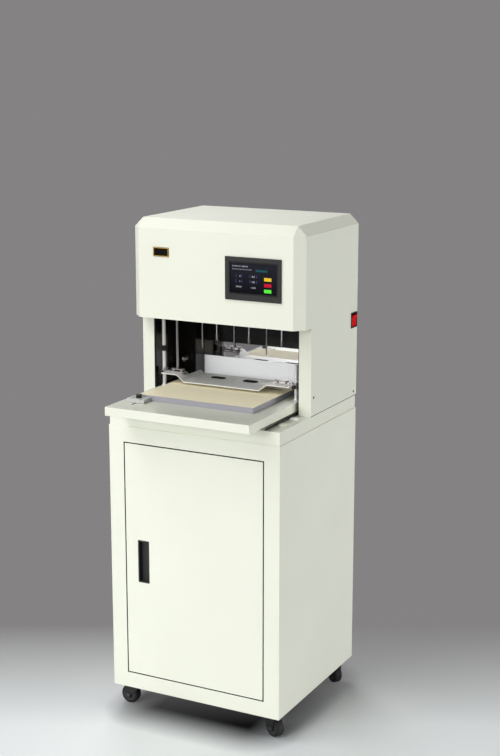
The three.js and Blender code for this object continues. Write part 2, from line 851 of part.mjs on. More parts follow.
function sideGauge() {
  const z = [tableTop + seat, tableTop + seat + gaugeHeight];
  const x = [gaugeX - gaugeWidth / 2, gaugeX + gaugeWidth / 2];
  const nutTop = tableTop - tableSkin - seat;
  const grooves = [-14, 12].map((at) => block(
    [gaugeX + at, gaugeX + at + 3], [gaugeBack - gaugeDepth - 1, gaugeBack + 1], [z[1] - 2, z[1] + 1],
  ));
  return cut(
    join(
      block(x, [gaugeBack - gaugeDepth, gaugeBack], z),
      rodZ(studRadius, gaugeX, studY, [nutTop - 4, z[0] + 1], 12),
      rodZ(studRadius * 2, gaugeX, studY, [nutTop - 4, nutTop], 6),
    ),
    ...grooves,
  );
}

function gaugeKnob() {
  const lobes = 12;
  const low = tableTop + seat + gaugeHeight + seat;
  const points = [];
  for (let i = 0; i < 2 * lobes; i += 1) {
    const angle = (i * Math.PI) / lobes;
    const radius = i % 2 ? 6.2 : 7;
    points.push([gaugeX + radius * Math.cos(angle), studY + radius * Math.sin(angle)]);
  }
  return prismZ(shapeOf(points), [low, low + 8]);
}

// Press plate and what guides it
function guidePost(side) {
  const low = tableTop + seat;
  const collar = postRadius + 3;
  return turned([
    [0, low], [collar, low], [collar, low + 3], [postRadius, low + 3],
    [postRadius, postTop - 1.5], [postRadius - 1.5, postTop], [0, postTop],
  ], side * postX, postY, 24);
}

// A sheet whose top follows heights[i][j] at xs[i], ys[j]
function ruledSheet(xs, ys, heights, thickness) {
  const nx = xs.length;
  const ny = ys.length;
  const positions = [];
  for (const drop of [0, thickness]) {
    for (let i = 0; i < nx; i += 1) {
      for (let j = 0; j < ny; j += 1) positions.push(xs[i], ys[j], heights[i][j] - drop);
    }
  }
  const at = (i, j, layer) => layer * nx * ny + i * ny + j;
  const index = [];
  const quad = (a, b, c, d) => index.push(a, b, c, a, c, d);
  for (let i = 0; i < nx - 1; i += 1) {
    for (let j = 0; j < ny - 1; j += 1) {
      quad(at(i, j, 0), at(i + 1, j, 0), at(i + 1, j + 1, 0), at(i, j + 1, 0));
      quad(at(i, j, 1), at(i, j + 1, 1), at(i + 1, j + 1, 1), at(i + 1, j, 1));
    }
    quad(at(i, 0, 1), at(i + 1, 0, 1), at(i + 1, 0, 0), at(i, 0, 0));
    quad(at(i, ny - 1, 0), at(i + 1, ny - 1, 0), at(i + 1, ny - 1, 1), at(i, ny - 1, 1));
  }
  for (let j = 0; j < ny - 1; j += 1) {
    quad(at(0, j, 0), at(0, j + 1, 0), at(0, j + 1, 1), at(0, j, 1));
    quad(at(nx - 1, j, 1), at(nx - 1, j + 1, 1), at(nx - 1, j + 1, 0), at(nx - 1, j, 0));
  }
  const geometry = new THREE.BufferGeometry();
  geometry.setAttribute('position', new THREE.Float32BufferAttribute(positions, 3));
  geometry.setIndex(index);
  return geometry;
}

const collarRadius = 9;
const tabEnd = postX - tabPostGap;

function pressPlate() {
  const slopeLeft = -tabEnd + leftTab;
  const slopeRight = tabEnd - rightTab;
  const xs = [
    -tabEnd, slopeLeft, slopeLeft + pressSlope, slopeRight - pressSlope, slopeRight, tabEnd,
  ];
  const ys = [pressFront, pressFold, pressBack];
  const tabs = [tabTop, tabTop, tabTop];
  const middle = [webTop - pressDip, webTop, webTop];
  const sheetBody = ruledSheet(xs, ys, [tabs, tabs, middle, middle, tabs, tabs], pressPlateThickness);
  const z = [bedTop, tabTop + 1];
  const ovalWidth = 36;
  const ovalOffset = 4;
  const ovals = drillXs.slice(0, holeCount - 1).map((x) => (
    slotZ([x + ovalOffset - ovalWidth / 2, x + ovalOffset + ovalWidth / 2], 16, workLine, z)
  ));
  const needleHoles = needleXs.map((x) => rodZ(4, x, workLine, z, 16));
  const behindTabs = [
    block([-tabEnd - 1, slopeLeft + pressSlope / 2], [tabBack, pressBack + 1], z),
    block([slopeRight - pressSlope / 2, tabEnd + 1], [tabBack, pressBack + 1], z),
  ];
  const collars = [-1, 1].map((side) => rodZ(collarRadius + seat, side * postX, postY, z));
  return cut(sheetBody, ...ovals, ...needleHoles, ...behindTabs, ...collars);
}

// Clamps a raised end of the press plate and slides on its post
function pressBracket(side) {
  const bridgeZ = [tabTop + 7, tabTop + 9.5];
  const bridgeLength = 36;
  const bridgeWidth = 14;
  const strap = [tabTop + seat, tabTop + seat + 2];
  const leg = bridgeLength / 2 - bridgeWidth / 2;
  const z = [tabTop - pressPlateThickness - 4, tabTop + 8];
  const body = join(
    block(sided(side, bridgeX - bridgeLength / 2, postX), [postY - 6, postY + 6], strap),
    rodZ(collarRadius, side * postX, postY, z, 24),
    slotZ(sided(side, bridgeX - bridgeLength / 2, bridgeX + bridgeLength / 2), bridgeWidth, postY, bridgeZ),
    rodZ(3, side * bridgeX - leg, postY, [strap[0], bridgeZ[1]], 12),
    rodZ(3, side * bridgeX + leg, postY, [strap[0], bridgeZ[1]], 12),
  );
  return cut(body, rodZ(postRadius + running, side * postX, postY, grow(z, 1), 24));
}

// The left bracket also carries the lift rod that runs up into the head
function leftPressBracket() {
  const rodTop = baseTop + liftRodRise;
  return join(
    pressBracket(-1),
    rodZ(rodRadius, -bridgeX, postY, [tabTop + 8, rodTop], 16),
  );
}

function stopRod() {
  const low = postTop + stopRodGap;
  const high = baseTop - basePlate - seat;
  return turned([
    [0, low], [postRadius - 1, low], [postRadius, low + 1], [postRadius, high - 3],
    [9, high - 3], [9, high], [0, high],
  ], -postX, postY, 24);
}

// Shift rails across the head
const railBlock = 14;
const railBlockHalf = 12;
const slantReach = sideFront - railFrontY + railBlockHalf; // of the front corners over the block
const railEnd = halfWidth - slantReach - 4.5;

function shiftRail(y) {
  const z = [baseTop + seat, railZ + railRadius + railWall];
  return join(
    rodX(railRadius, [-railEnd + 1, railEnd - 1], y, railZ, 24),
    block([-railEnd, -railEnd + railBlock], grow([y, y], railBlockHalf), z),
    block([railEnd - railBlock, railEnd], grow([y, y], railBlockHalf), z),
  );
}

const guides = [
  [guideLeft, guideFrontY], [guideRight, guideFrontY],
  [guideLeft, guideBackY], [guideRight, guideBackY],
];

// Carriage on the rails, with the columns, the top plate and the two lift motors
function shuttle() {
  const lugLength = 30;
  const lugs = [];
  const bores = [];
  for (const y of [railFrontY, railBackY]) {
    for (const x of [carriageLeft, carriageRight - lugLength]) {
      lugs.push(block([x, x + lugLength], [y - 13, y + 13], [baseTop + 3, carriageBottom + 1]));
    }
    bores.push(rodX(railRadius + running, [carriageLeft - 1, carriageRight + 1], y, railZ, 24));
  }
  const plate = block(
    [carriageLeft, carriageRight],
    [railFrontY - carriageLip, railBackY + carriageLip],
    [carriageBottom, carriageTop],
  );
  const columns = guides.map(([x, y]) => rodZ(columnRadius, x, y, [carriageTop - 1, liftTop + 1]));
  const top = block(
    [guideLeft - topPlateLip, guideRight + topPlateLip],
    [drillScrewY - liftMotor / 2 - 1, needleScrewY + liftMotor / 2 + 1],
    [liftTop, liftTop + liftPlate],
  );
  const half = liftMotor / 2;
  const motors = [drillScrewY, needleScrewY].map((y) => block(
    [drillCentre - half, drillCentre + half], [y - half, y + half],
    [liftTop + liftPlate - 1, liftTop + liftPlate + liftMotorHeight],
  ));
  const holes = [
    ...drillXs.map((x) => rodZ(drillTipRadius + 3, x, workLine, [carriageBottom - 1, carriageTop + 1], 16)),
    ...needleXs.map((x) => rodZ(needleRadius + 1.5, x, workLine, [carriageBottom - 1, carriageTop + 1], 12)),
  ];
  return cut(join(plate, top, ...lugs, ...columns, ...motors), ...bores, ...holes);
}

// Crosshead with the three drill motors
const crossheadTop = liftTop - 2 - drillMotorHeight;
const crossheadBottom = crossheadTop - crossheadThickness;
const shankRadius = 4;
const shankDepth = 8;
const slideX = [guideLeft - 13, guideRight + 13];

function drillCrosshead() {
  const z = [crossheadBottom, crossheadTop];
  const motorTop = liftTop - 2;
  const tongues = drillXs.map((x) => block(
    [x - motorRadius, x + motorRadius], [guideFrontY + 18, workLine + motorRadius + 1], z,
  ));
  const motors = drillXs.map((x) => rodZ(motorRadius, x, workLine, [crossheadTop - 1, motorTop], 24));
  const body = join(
    block(slideX, [guideFrontY - 13, guideFrontY + 19], z),
    block([drillCentre - 12, drillCentre + 12], [drillScrewY - 13, guideFrontY - 12], z),
    ...tongues,
    ...motors,
  );
  const through = grow(z, 1);
  const holes = drillXs.map((x) => (
    rodZ(shankRadius + running, x, workLine, [z[0] - 1, z[0] + shankDepth + running], 16)
  ));
  return cut(
    body,
    rodZ(columnRadius + running, guideLeft, guideFrontY, through),
    rodZ(columnRadius + running, guideRight, guideFrontY, through),
    rodZ(screwRadius + running, drillCentre, drillScrewY, through),
    ...holes,
  );
}

function drillBit(x) {
  const tip = deck + drillTipRise;
  const top = crossheadBottom + shankDepth;
  return turned([
    [0, tip], [drillTipRadius - 0.6, tip], [drillTipRadius, tip + 3],
    [drillTipRadius, tip + drillTipLength],
    [drillRadius, tip + drillTipLength + 2], [drillRadius, crossheadBottom - drillNeckLength],
    [shankRadius, crossheadBottom - drillNeckLength + 2],
    [shankRadius, top], [0, top],
  ], x, workLine, 16);
}

// Needle bar behind the drills, with a tongue and a needle for each hole
const needleBarTop = liftTop - 2;
const needleBarBottom = needleBarTop - needleBarThickness;

function needleBar() {
  const z = [needleBarBottom, needleBarTop];
  const tip = deck + needleTipRise;
  const barX = [needleXs[0] - 8, slideX[1]];
  const tongues = needleXs.map((x) => block([x - 5, x + 5], [workLine - 5, guideBackY - 12], z));
  const needles = needleXs.map((x) => turned([
    [0, tip], [needleRadius, tip + 6], [needleRadius, z[0] + 2], [0, z[0] + 2],
  ], x, workLine, 12));
  const through = grow(z, 1);
  return cut(
    join(
      block(barX, [guideBackY - 13, guideBackY + 13], z),
      block([drillCentre - 12, drillCentre + 12], [guideBackY + 12, needleScrewY + 13], z),
      ...tongues,
      ...needles,
    ),
    rodZ(columnRadius + running, guideLeft, guideBackY, through),
    rodZ(columnRadius + running, guideRight, guideBackY, through),
    rodZ(screwRadius + running, drillCentre, needleScrewY, through),
  );
}

function leadScrew(y) {
  return rodZ(screwRadius, drillCentre, y, [carriageTop + seat, liftTop - seat], 16);
}

// The whole machine
const model = new THREE.Group();

function add(name, geometry, material, parent = model) {
  const mesh = new THREE.Mesh(geometry, material);
  mesh.name = name;
  parent.add(mesh);
}

add('cabinet_bottom_panel', cabinetBottomPanel(), cream);
add('cabinet_left_panel', cabinetSidePanel(-1), cream);
add('cabinet_right_panel', cabinetSidePanel(1), cream);
add('cabinet_back_panel', cabinetBackPanel(), cream);
add('cabinet_front_frame', cabinetFrontFrame(), cream);
add('cabinet_top_tray', cabinetTopTray(), cream);
add('thread_shelf', threadShelf(), cream);
add('thread_spool', threadSpool(), thread);
add('cabinet_door', cabinetDoor(), cream);
add('door_handle', doorHandle(), greyPlastic);
add('door_upper_pin', hingePin(1), steel);
add('door_lower_pin', hingePin(-1), steel);

for (const [row, rowSide] of [['front', -1], ['rear', 1]]) {
  for (const [column, columnSide] of [['left', -1], ['right', 1]]) {
    const caster = new THREE.Group();
    caster.position.set(
      columnSide * (halfWidth - casterInsetX),
      rowSide * (cabinetDepth / 2 - casterInsetY),
      0,
    );
    const swivelling = new THREE.Group();
    const place = `${row}_${column}`;
    swivelling.rotation.z = THREE.MathUtils.degToRad(casterTurns[place]);
    add(`caster_mount_${place}`, casterMount(), blackPlastic, caster);
    add(`caster_fork_${place}`, casterFork(), blackPlastic, swivelling);
    add(`caster_wheel_${place}`, casterWheel(), rubber, swivelling);
    caster.add(swivelling);
    model.add(caster);
  }
}

add('left_column_panel', columnPanel(-1), cream);
add('right_column_panel', rightColumnPanel(), cream);
add('head_hood', headHood(), cream);
add('rear_cover', rearCover(), cream);
add('head_base_plate', headBasePlate(), blackGloss);
add('bay_liner', bayLiner(), blackGloss);
add('rear_mirror', rearMirror(), mirror);
add('rear_fence', rearFence(), palePanel);
add('screen_bezel', screenBezel(), greyPlastic);
add('screen_pane', screenPane(), screenGlass);
add('nameplate', nameplate(), nameplateBlack);
add('switch_bezel', switchBezel(), blackPlastic);
add('power_rocker', powerRocker(), redPlastic);
add('power_inlet', powerInlet(), blackPlastic);

add('work_table', workTable(), cream);
add('paper_bed', paperBed(), bedGrey);
add('side_gauge', sideGauge(), aluminium);
add('gauge_knob', gaugeKnob(), blackPlastic);
add('guide_post_left', guidePost(-1), chrome);
add('guide_post_right', guidePost(1), chrome);
add('press_plate', pressPlate(), pressSteel);
add('press_bracket_left', leftPressBracket(), chrome);
add('press_bracket_right', pressBracket(1), chrome);
add('stop_rod', stopRod(), chrome);

add('front_rail', shiftRail(railFrontY), steel);
add('rear_rail', shiftRail(railBackY), steel);
add('shuttle', shuttle(), aluminium);
add('drill_crosshead', drillCrosshead(), steel);
drillXs.forEach((x, i) => add(`drill_bit_${i + 1}`, drillBit(x), steel));
add('needle_bar', needleBar(), steel);
add('drill_lead_screw', leadScrew(drillScrewY), steel);
add('needle_lead_screw', leadScrew(needleScrewY), steel);
add('hook_bar', hookBar(), steel);

// The origin lies on the floor under the middle of the machine
const bounds = new THREE.Box3().setFromObject(model);
model.position.set(-(bounds.min.x + bounds.max.x) / 2, -(bounds.min.y + bounds.max.y) / 2, -bounds.min.z);

export default model;
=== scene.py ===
import json
import math
import random

import bmesh
import bpy
from mathutils import Matrix, Vector

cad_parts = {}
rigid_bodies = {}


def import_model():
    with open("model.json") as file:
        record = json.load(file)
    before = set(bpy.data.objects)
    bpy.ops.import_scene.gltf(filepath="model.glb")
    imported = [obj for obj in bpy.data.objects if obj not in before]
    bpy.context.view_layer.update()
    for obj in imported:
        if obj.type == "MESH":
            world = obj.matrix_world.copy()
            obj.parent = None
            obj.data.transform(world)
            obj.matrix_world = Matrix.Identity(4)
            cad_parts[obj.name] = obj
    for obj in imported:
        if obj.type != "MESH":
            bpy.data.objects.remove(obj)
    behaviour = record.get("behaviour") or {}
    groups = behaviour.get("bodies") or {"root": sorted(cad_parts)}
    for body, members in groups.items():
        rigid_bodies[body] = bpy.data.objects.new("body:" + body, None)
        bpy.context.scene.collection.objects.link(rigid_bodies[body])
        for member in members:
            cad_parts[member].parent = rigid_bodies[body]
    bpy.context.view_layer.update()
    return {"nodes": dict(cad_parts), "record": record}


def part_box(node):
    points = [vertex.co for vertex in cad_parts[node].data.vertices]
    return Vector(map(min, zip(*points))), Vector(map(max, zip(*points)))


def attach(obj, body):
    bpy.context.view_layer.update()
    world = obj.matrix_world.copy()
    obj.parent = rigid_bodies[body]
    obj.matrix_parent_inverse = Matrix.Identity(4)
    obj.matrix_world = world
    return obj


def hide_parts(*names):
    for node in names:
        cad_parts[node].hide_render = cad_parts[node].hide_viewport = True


for leftover in list(bpy.data.objects):
    bpy.data.objects.remove(leftover)

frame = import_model()

MM = 0.001
SIDES = ((-1, "left"), (1, "right"))


# Places worked out from the frame

def low(node):
    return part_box(node)[0]


def high(node):
    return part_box(node)[1]


def middle(node):
    a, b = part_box(node)
    return (a + b) / 2


DECK = high("cabinet_top_tray").z
CENTRE_X = middle("cabinet_top_tray").x
CENTRE_Y = middle("cabinet_top_tray").y
COLUMN_FRONT = CENTRE_Y - 51 * MM  # front edges of the columns beside the working space


def from_deck(x, y, z=0.0):
    """A point given from the middle of the cabinet top, in metres."""
    return Vector((CENTRE_X + x, CENTRE_Y + y, DECK + z))


# Shader nodes. A tree is anything with nodes and links, such as a node tree or a Finish

def math_step(tree, operation, first, second):
    """A Math node; second is a socket or a float."""
    node = tree.nodes.new("ShaderNodeMath")
    node.operation = operation
    tree.links.new(first, node.inputs[0])
    if isinstance(second, float):
        node.inputs[1].default_value = second
    else:
        tree.links.new(second, node.inputs[1])
    return node.outputs["Value"]


def vector_step(tree, operation, source, value=None):
    """A Vector Math node, whose result is its output Vector or Value."""
    node = tree.nodes.new("ShaderNodeVectorMath")
    node.operation = operation
    tree.links.new(source, node.inputs[0])
    if value is not None:
        node.inputs[1].default_value = value
    return node.outputs


def mix_step(tree, factor, first, second):
    """A colour mix; first and second are sockets or (red, green, blue)."""
    node = tree.nodes.new("ShaderNodeMix")
    node.data_type = "RGBA"
    tree.links.new(factor, node.inputs["Factor"])
    for socket, colour in ((node.inputs["A"], first), (node.inputs["B"], second)):
        if isinstance(colour, tuple):
            socket.default_value = (*colour, 1)
        else:
            tree.links.new(colour, socket)
    return node.outputs["Result"]


class Finish:
    """One procedural material. Texture coordinates are the object's own, the frame's metres."""

    def __init__(self, name):
        self.material = bpy.data.materials.new(name)
        self.material.use_nodes = True
        self.nodes = self.material.node_tree.nodes
        self.links = self.material.node_tree.links
        self.shader = self.nodes["Principled BSDF"]
        self.place = self.nodes.new("ShaderNodeTexCoord").outputs["Object"]

    def link(self, source, target):
        self.links.new(source, target)

    def set(self, socket, value):
        """A value that is the same all over the surface."""
        self.shader.inputs[socket].default_value = value

    def colour(self, value):
        self.link(value, self.shader.inputs["Base Color"])

    def roughness(self, value):
        self.link(value, self.shader.inputs["Roughness"])

    def glow(self, value, strength):
        self.link(value, self.shader.inputs["Emission Color"])
        self.set("Emission Strength", strength)

    def stretched(self, scale):
        mapping = self.nodes.new("ShaderNodeMapping")
        mapping.inputs["Scale"].default_value = scale
        self.link(self.place, mapping.inputs["Vector"])
        return mapping.outputs["Vector"]

    def noise(self, scale, detail=4, roughness=0.5, vector=None):
        node = self.nodes.new("ShaderNodeTexNoise")
        node.inputs["Scale"].default_value = scale
        node.inputs["Detail"].default_value = detail
        node.inputs["Roughness"].default_value = roughness
        self.link(vector or self.place, node.inputs["Vector"])
        return node.outputs["Fac"]

    def lines(self, scale, detail):
        """Noise drawn out into fibres or brushing; they run along the axis of the smallest scale."""
        return self.noise(1.0, detail=detail, vector=self.stretched(scale))

    def cells(self, scale):
        node = self.nodes.new("ShaderNodeTexVoronoi")
        node.inputs["Scale"].default_value = scale
        self.link(self.place, node.inputs["Vector"])
        return node.outputs["Distance"]

    def ranged(self, value, low_value, high_value, start=0.0, stop=1.0):
        """Low_value where value is start and below, high_value where it is stop and above."""
        node = self.nodes.new("ShaderNodeMapRange")
        node.inputs["From Min"].default_value = start
        node.inputs["From Max"].default_value = stop
        node.inputs["To Min"].default_value = low_value
        node.inputs["To Max"].default_value = high_value
        self.link(value, node.inputs["Value"])
        return node.outputs["Result"]

    def mixed(self, factor, first, second):
        return mix_step(self, factor, first, second)

    def axis(self, source, name):
        """The X, Y or Z part of a vector."""
        axes = self.nodes.new("ShaderNodeSeparateXYZ")
        self.link(source, axes.inputs["Vector"])
        return axes.outputs[name]

    def upward(self):
        """One on faces that look up, nought on the others."""
        normal = self.nodes.new("ShaderNodeNewGeometry").outputs["True Normal"]
        return self.ranged(self.axis(normal, "Z"), 0, 1, start=0.7, stop=0.9)

    def bump(self, value, strength, distance):
        node = self.nodes.new("ShaderNodeBump")
        node.inputs["Strength"].default_value = strength
        node.inputs["Distance"].default_value = distance
        self.link(value, node.inputs["Height"])
        self.link(node.outputs["Normal"], self.shader.inputs["Normal"])


def from_srgb(red, green, blue):
    def linear(channel):
        share = channel / 255
        return share / 12.92 if share <= 0.04045 else ((share + 0.055) / 1.055) ** 2.4
    return linear(red), linear(green), linear(blue)


def shade(colour, factor):
    return tuple(min(1.0, channel * factor) for channel in colour)


# Materials

def powder_coat(name, colour, rough=0.42, shine=0.5, glow=0.0, peel=0.10, grain=420, top=None):
    """Baked powder paint with fine orange peel and faint large clouds.

    peel and grain are the strength and scale of the orange peel, top is the colour of an
    upper face with painted shade, and glow is painted light that the paint gives out.
    """
    finish = Finish(name)
    clouds = finish.ranged(finish.noise(5, detail=3), 0, 1, start=0.35, stop=0.65)
    tint = finish.mixed(clouds, shade(colour, 0.985), shade(colour, 1.01))
    # upper faces take the darker top colour: painted shade
    if top is not None:
        shaded_top_tint = finish.mixed(clouds, shade(top, 0.97), shade(top, 1.03))
        tint = finish.mixed(finish.upward(), tint, shaded_top_tint)
    specks = finish.ranged(finish.noise(650, detail=2), 0, 0.10, start=0.62, stop=0.75)
    finish.colour(finish.mixed(specks, tint, shade(colour, 0.88)))
    finish.roughness(finish.ranged(finish.noise(40), rough - 0.04, rough + 0.05))
    finish.set("Specular IOR Level", shine)
    finish.glow(tint, glow)
    finish.bump(finish.noise(grain, detail=2), peel, 0.15 * MM)
    return finish.material


def moulded_plastic(name, colour, rough=0.5):
    """Matt plastic with the fine cells of an eroded mould."""
    finish = Finish(name)
    finish.colour(finish.mixed(finish.noise(30), shade(colour, 0.9), shade(colour, 1.12)))
    finish.roughness(finish.ranged(finish.noise(60), rough - 0.06, rough + 0.06))
    finish.bump(finish.cells(1400), 0.18, 0.1 * MM)
    return finish.material


def glossy(name, colour, rough, shine=0.5):
    """Smooth plastic or lacquer with fingerprints and hairlines that only the roughness shows."""
    finish = Finish(name)
    finish.colour(finish.mixed(finish.noise(12), shade(colour, 0.92), shade(colour, 1.1)))
    smears = finish.noise(26, detail=6, roughness=0.65)
    finish.roughness(finish.ranged(smears, rough * 0.7, rough * 2.1, start=0.35, stop=0.75))
    finish.set("Specular IOR Level", shine)
    finish.bump(finish.noise(90, detail=2), 0.03, 0.1 * MM)
    return finish.material


def metal(name, colour, rough, grain=None, depth=0.06, spread=0.05, bare=1.0):
    """Metal. grain is the scale of its brushing along X, Y and Z, and depth the brushing's strength.

    spread is how much the roughness varies, and bare is how much of the surface is bare metal.
    """
    finish = Finish(name)
    finish.set("Metallic", bare)
    clouds = finish.noise(18, detail=4)
    finish.colour(finish.mixed(clouds, shade(colour, 0.93), shade(colour, 1.05)))
    if grain is None:
        finish.roughness(finish.ranged(clouds, rough, rough + spread, start=0.3, stop=0.7))
    else:
        lines = finish.lines(grain, detail=3)
        finish.roughness(finish.ranged(lines, rough, rough + spread * 2, start=0.3, stop=0.7))
        finish.bump(lines, depth, 0.05 * MM)
    return finish.material


def rubber(name, colour):
    """Black rubber with a trace of grey dust."""
    finish = Finish(name)
    dust = finish.noise(70, detail=5)
    dusty = finish.ranged(dust, 0, 0.3, start=0.5, stop=0.8)
    finish.colour(finish.mixed(dusty, colour, from_srgb(80, 78, 75)))
    finish.roughness(finish.ranged(dust, 0.62, 0.85))
    finish.bump(finish.noise(900, detail=2), 0.2, 0.15 * MM)
    return finish.material


def bed_mat(name, side_colour, top_colour):
    """A grey slab whose upper face is a pale cutting mat with short fibres and faint worn patches."""
    finish = Finish(name)
    fibres = finish.lines((90, 900, 400), detail=5)
    worn = finish.ranged(finish.noise(14, detail=3), 0, 0.35, start=0.4, stop=0.7)
    top = finish.mixed(fibres, shade(top_colour, 0.93), shade(top_colour, 1.05))
    top = finish.mixed(worn, top, shade(top_colour, 0.9))
    side = finish.mixed(finish.noise(220), shade(side_colour, 0.92), shade(side_colour, 1.06))
    finish.colour(finish.mixed(finish.upward(), side, top))
    finish.roughness(finish.ranged(fibres, 0.6, 0.8))
    finish.bump(fibres, 0.12, 0.15 * MM)
    return finish.material


def wound(name, colour):
    """Waxed thread wound in level turns, with the twist of its strands."""
    finish = Finish(name)
    twist = finish.lines((500, 500, 2600), detail=3)
    finish.colour(finish.mixed(twist, shade(colour, 0.82), shade(colour, 1.04)))
    finish.set("Roughness", 0.85)
    finish.set("Sheen Weight", 0.3)
    finish.bump(twist, 0.4, 0.25 * MM)
    return finish.material


def display(name):
    """A dark touch screen whose picture fades from grey at the top to near black."""
    finish = Finish(name)
    bottom, top = low("screen_pane").z, high("screen_pane").z
    rise = finish.ranged(finish.axis(finish.place, "Z"), 0, 1, start=bottom, stop=top)
    faint = finish.ranged(finish.noise(60, detail=3), 0, 0.3)
    picture = finish.mixed(rise, from_srgb(8, 9, 15), from_srgb(34, 35, 42))
    finish.colour(finish.mixed(faint, picture, from_srgb(16, 17, 30)))
    finish.glow(picture, 0.2)
    finish.set("Specular IOR Level", 0.2)
    finish.roughness(finish.ranged(finish.noise(20, detail=6), 0.05, 0.16, start=0.35, stop=0.7))
    return finish.material


def lit(name, colour, strength):
    """A key or a mark drawn by the screen, in its fine dots."""
    finish = Finish(name)
    dots = finish.ranged(finish.cells(4200), 0, 0.5)
    tint = finish.mixed(dots, shade(colour, 1.06), shade(colour, 0.72))
    finish.colour(tint)
    finish.glow(tint, strength)
    finish.set("Specular IOR Level", 0.2)
    finish.set("Roughness", 0.25)
    return finish.material


CREAM = from_srgb(240, 242, 227)
LOOKS = {
    "cream_paint": powder_coat("cream_paint_look", CREAM),
    # the pale paint glows though it is no lamp: painted light
    "pale_paint": powder_coat("glowing_pale_paint_look", from_srgb(250, 251, 253), rough=0.3, glow=0.2),
    "black_paint": powder_coat("black_paint_look", from_srgb(16, 16, 14), rough=0.5, shine=0.2),
    "black_gloss": glossy("black_gloss_look", from_srgb(18, 17, 16), rough=0.12, shine=0.4),
    "black_plastic": moulded_plastic("black_plastic_look", from_srgb(28, 28, 29)),
    "grey_plastic": moulded_plastic("grey_plastic_look", from_srgb(40, 40, 39), rough=0.55),
    "red_plastic": glossy("red_plastic_look", from_srgb(216, 0, 12), rough=0.3, shine=0.06),
    "wheel_rubber": rubber("wheel_rubber_look", from_srgb(21, 21, 22)),
    "chrome": metal("chrome_look", (0.62, 0.60, 0.61), rough=0.22),
    "steel": metal("steel_look", (0.52, 0.52, 0.53), rough=0.24, grain=(900, 900, 40)),
    "aluminium": metal("aluminium_look", (0.66, 0.67, 0.67), rough=0.32, grain=(60, 1200, 900)),
    "mirror_strip": metal("mirror_strip_look", (0.72, 0.72, 0.74), rough=0.03, spread=0.01),
    "press_steel": metal("press_steel_look", (0.80, 0.80, 0.76), rough=0.34,
                         grain=(40, 900, 900), depth=0.03, bare=0.35),
    "screen_glass": display("screen_glass_look"),
    "plate_black": glossy("plate_black_look", from_srgb(12, 10, 7), rough=0.2, shine=0.2),
    "bed_grey": bed_mat("bed_grey_look", from_srgb(158, 157, 166), from_srgb(255, 243, 211)),
    "thread": wound("thread_look", from_srgb(240, 236, 226)),
}
# the brackets' steel is tinted pinkish for the bed it reflects: painted reflection
BRACKET_STEEL_PAINTED_REFLECTION = metal("bracket_steel_painted_reflection_look", (0.47, 0.44, 0.44), rough=0.32)
# near-white, partly bare steel whose pale colour stands for the bright front the posts reflect: painted
# reflection
POST_STEEL_PAINTED_REFLECTION = metal("post_steel_painted_reflection_look", (0.92, 0.90, 0.89), rough=0.22, bare=0.4)
# the column side sheets are the cream made a little darker: painted shade
SHADED_SIDE_SHEET = powder_coat("shaded_side_sheet_look", shade(CREAM, 0.95))


def paint_with_shaded_top(name, top):
    """The smoother cream paint of a surface that things lie on, its upper faces darker as painted
    shade.
    """
    return powder_coat(name, CREAM, rough=0.30, shine=0.4, peel=0.05, grain=90, top=shade(CREAM, top))


NODE_LOOKS = {  # nodes whose look isn't that of their material slot
    # the upper faces of the table and the deck are painted darker: painted shade
    "work_table": paint_with_shaded_top("table_shaded_top_look", 0.78),
    "cabinet_top_tray": paint_with_shaded_top("deck_shaded_top_look", 0.8),
    # the cabinet's underside is dark grey so that the floor beneath stays dark: painted shade
    "cabinet_bottom_panel": powder_coat("underside_painted_shade_look", from_srgb(40, 40, 40), rough=0.6),
    "side_gauge": powder_coat("gauge_look", from_srgb(196, 197, 194), rough=0.35),
    "press_bracket_left": BRACKET_STEEL_PAINTED_REFLECTION,
    "press_bracket_right": BRACKET_STEEL_PAINTED_REFLECTION,
    "left_column_panel": SHADED_SIDE_SHEET,
    "right_column_panel": SHADED_SIDE_SHEET,
    "guide_post_left": POST_STEEL_PAINTED_REFLECTION,
    "guide_post_right": POST_STEEL_PAINTED_REFLECTION,
    "stop_rod": POST_STEEL_PAINTED_REFLECTION,
}
GOLD = glossy("gold_trim_look", from_srgb(242, 190, 62), rough=0.3)
DISC = moulded_plastic("wheel_disc_look", from_srgb(46, 46, 48))
AXLE_STEEL = metal("axle_steel_look", (0.12, 0.12, 0.125), rough=0.45)
# black rubber for the screen's gasket and for the strips of painted shade in gaps and windows
SEAL_AND_PAINTED_SHADE = rubber("seal_and_painted_shade_look", from_srgb(14, 14, 13))
CAP_WHITE = powder_coat("white_cap_look", from_srgb(254, 254, 252), rough=0.25)
CAP_PALE = powder_coat("pale_cap_look", shade(CREAM, 0.9), rough=0.3)
BLACK_OXIDE = metal("black_screw_look", (0.06, 0.06, 0.065), rough=0.38)
YELLOW_KEY = lit("yellow_key_look", from_srgb(214, 176, 40), 0.35)
RED_KEY = lit("red_key_look", from_srgb(180, 14, 42), 0.35)
GREEN_KEY = lit("green_key_look", from_srgb(80, 208, 56), 0.4)
WHITE_MARK = lit("white_mark_look", from_srgb(150, 150, 156), 0.25)
VIOLET_MARK = lit("violet_mark_look", from_srgb(58, 57, 104), 0.25)
TEAL_PATCH = lit("teal_patch_look", from_srgb(20, 74, 80), 0.2)


# Rounded edges and smooth shading on the frame's own pieces

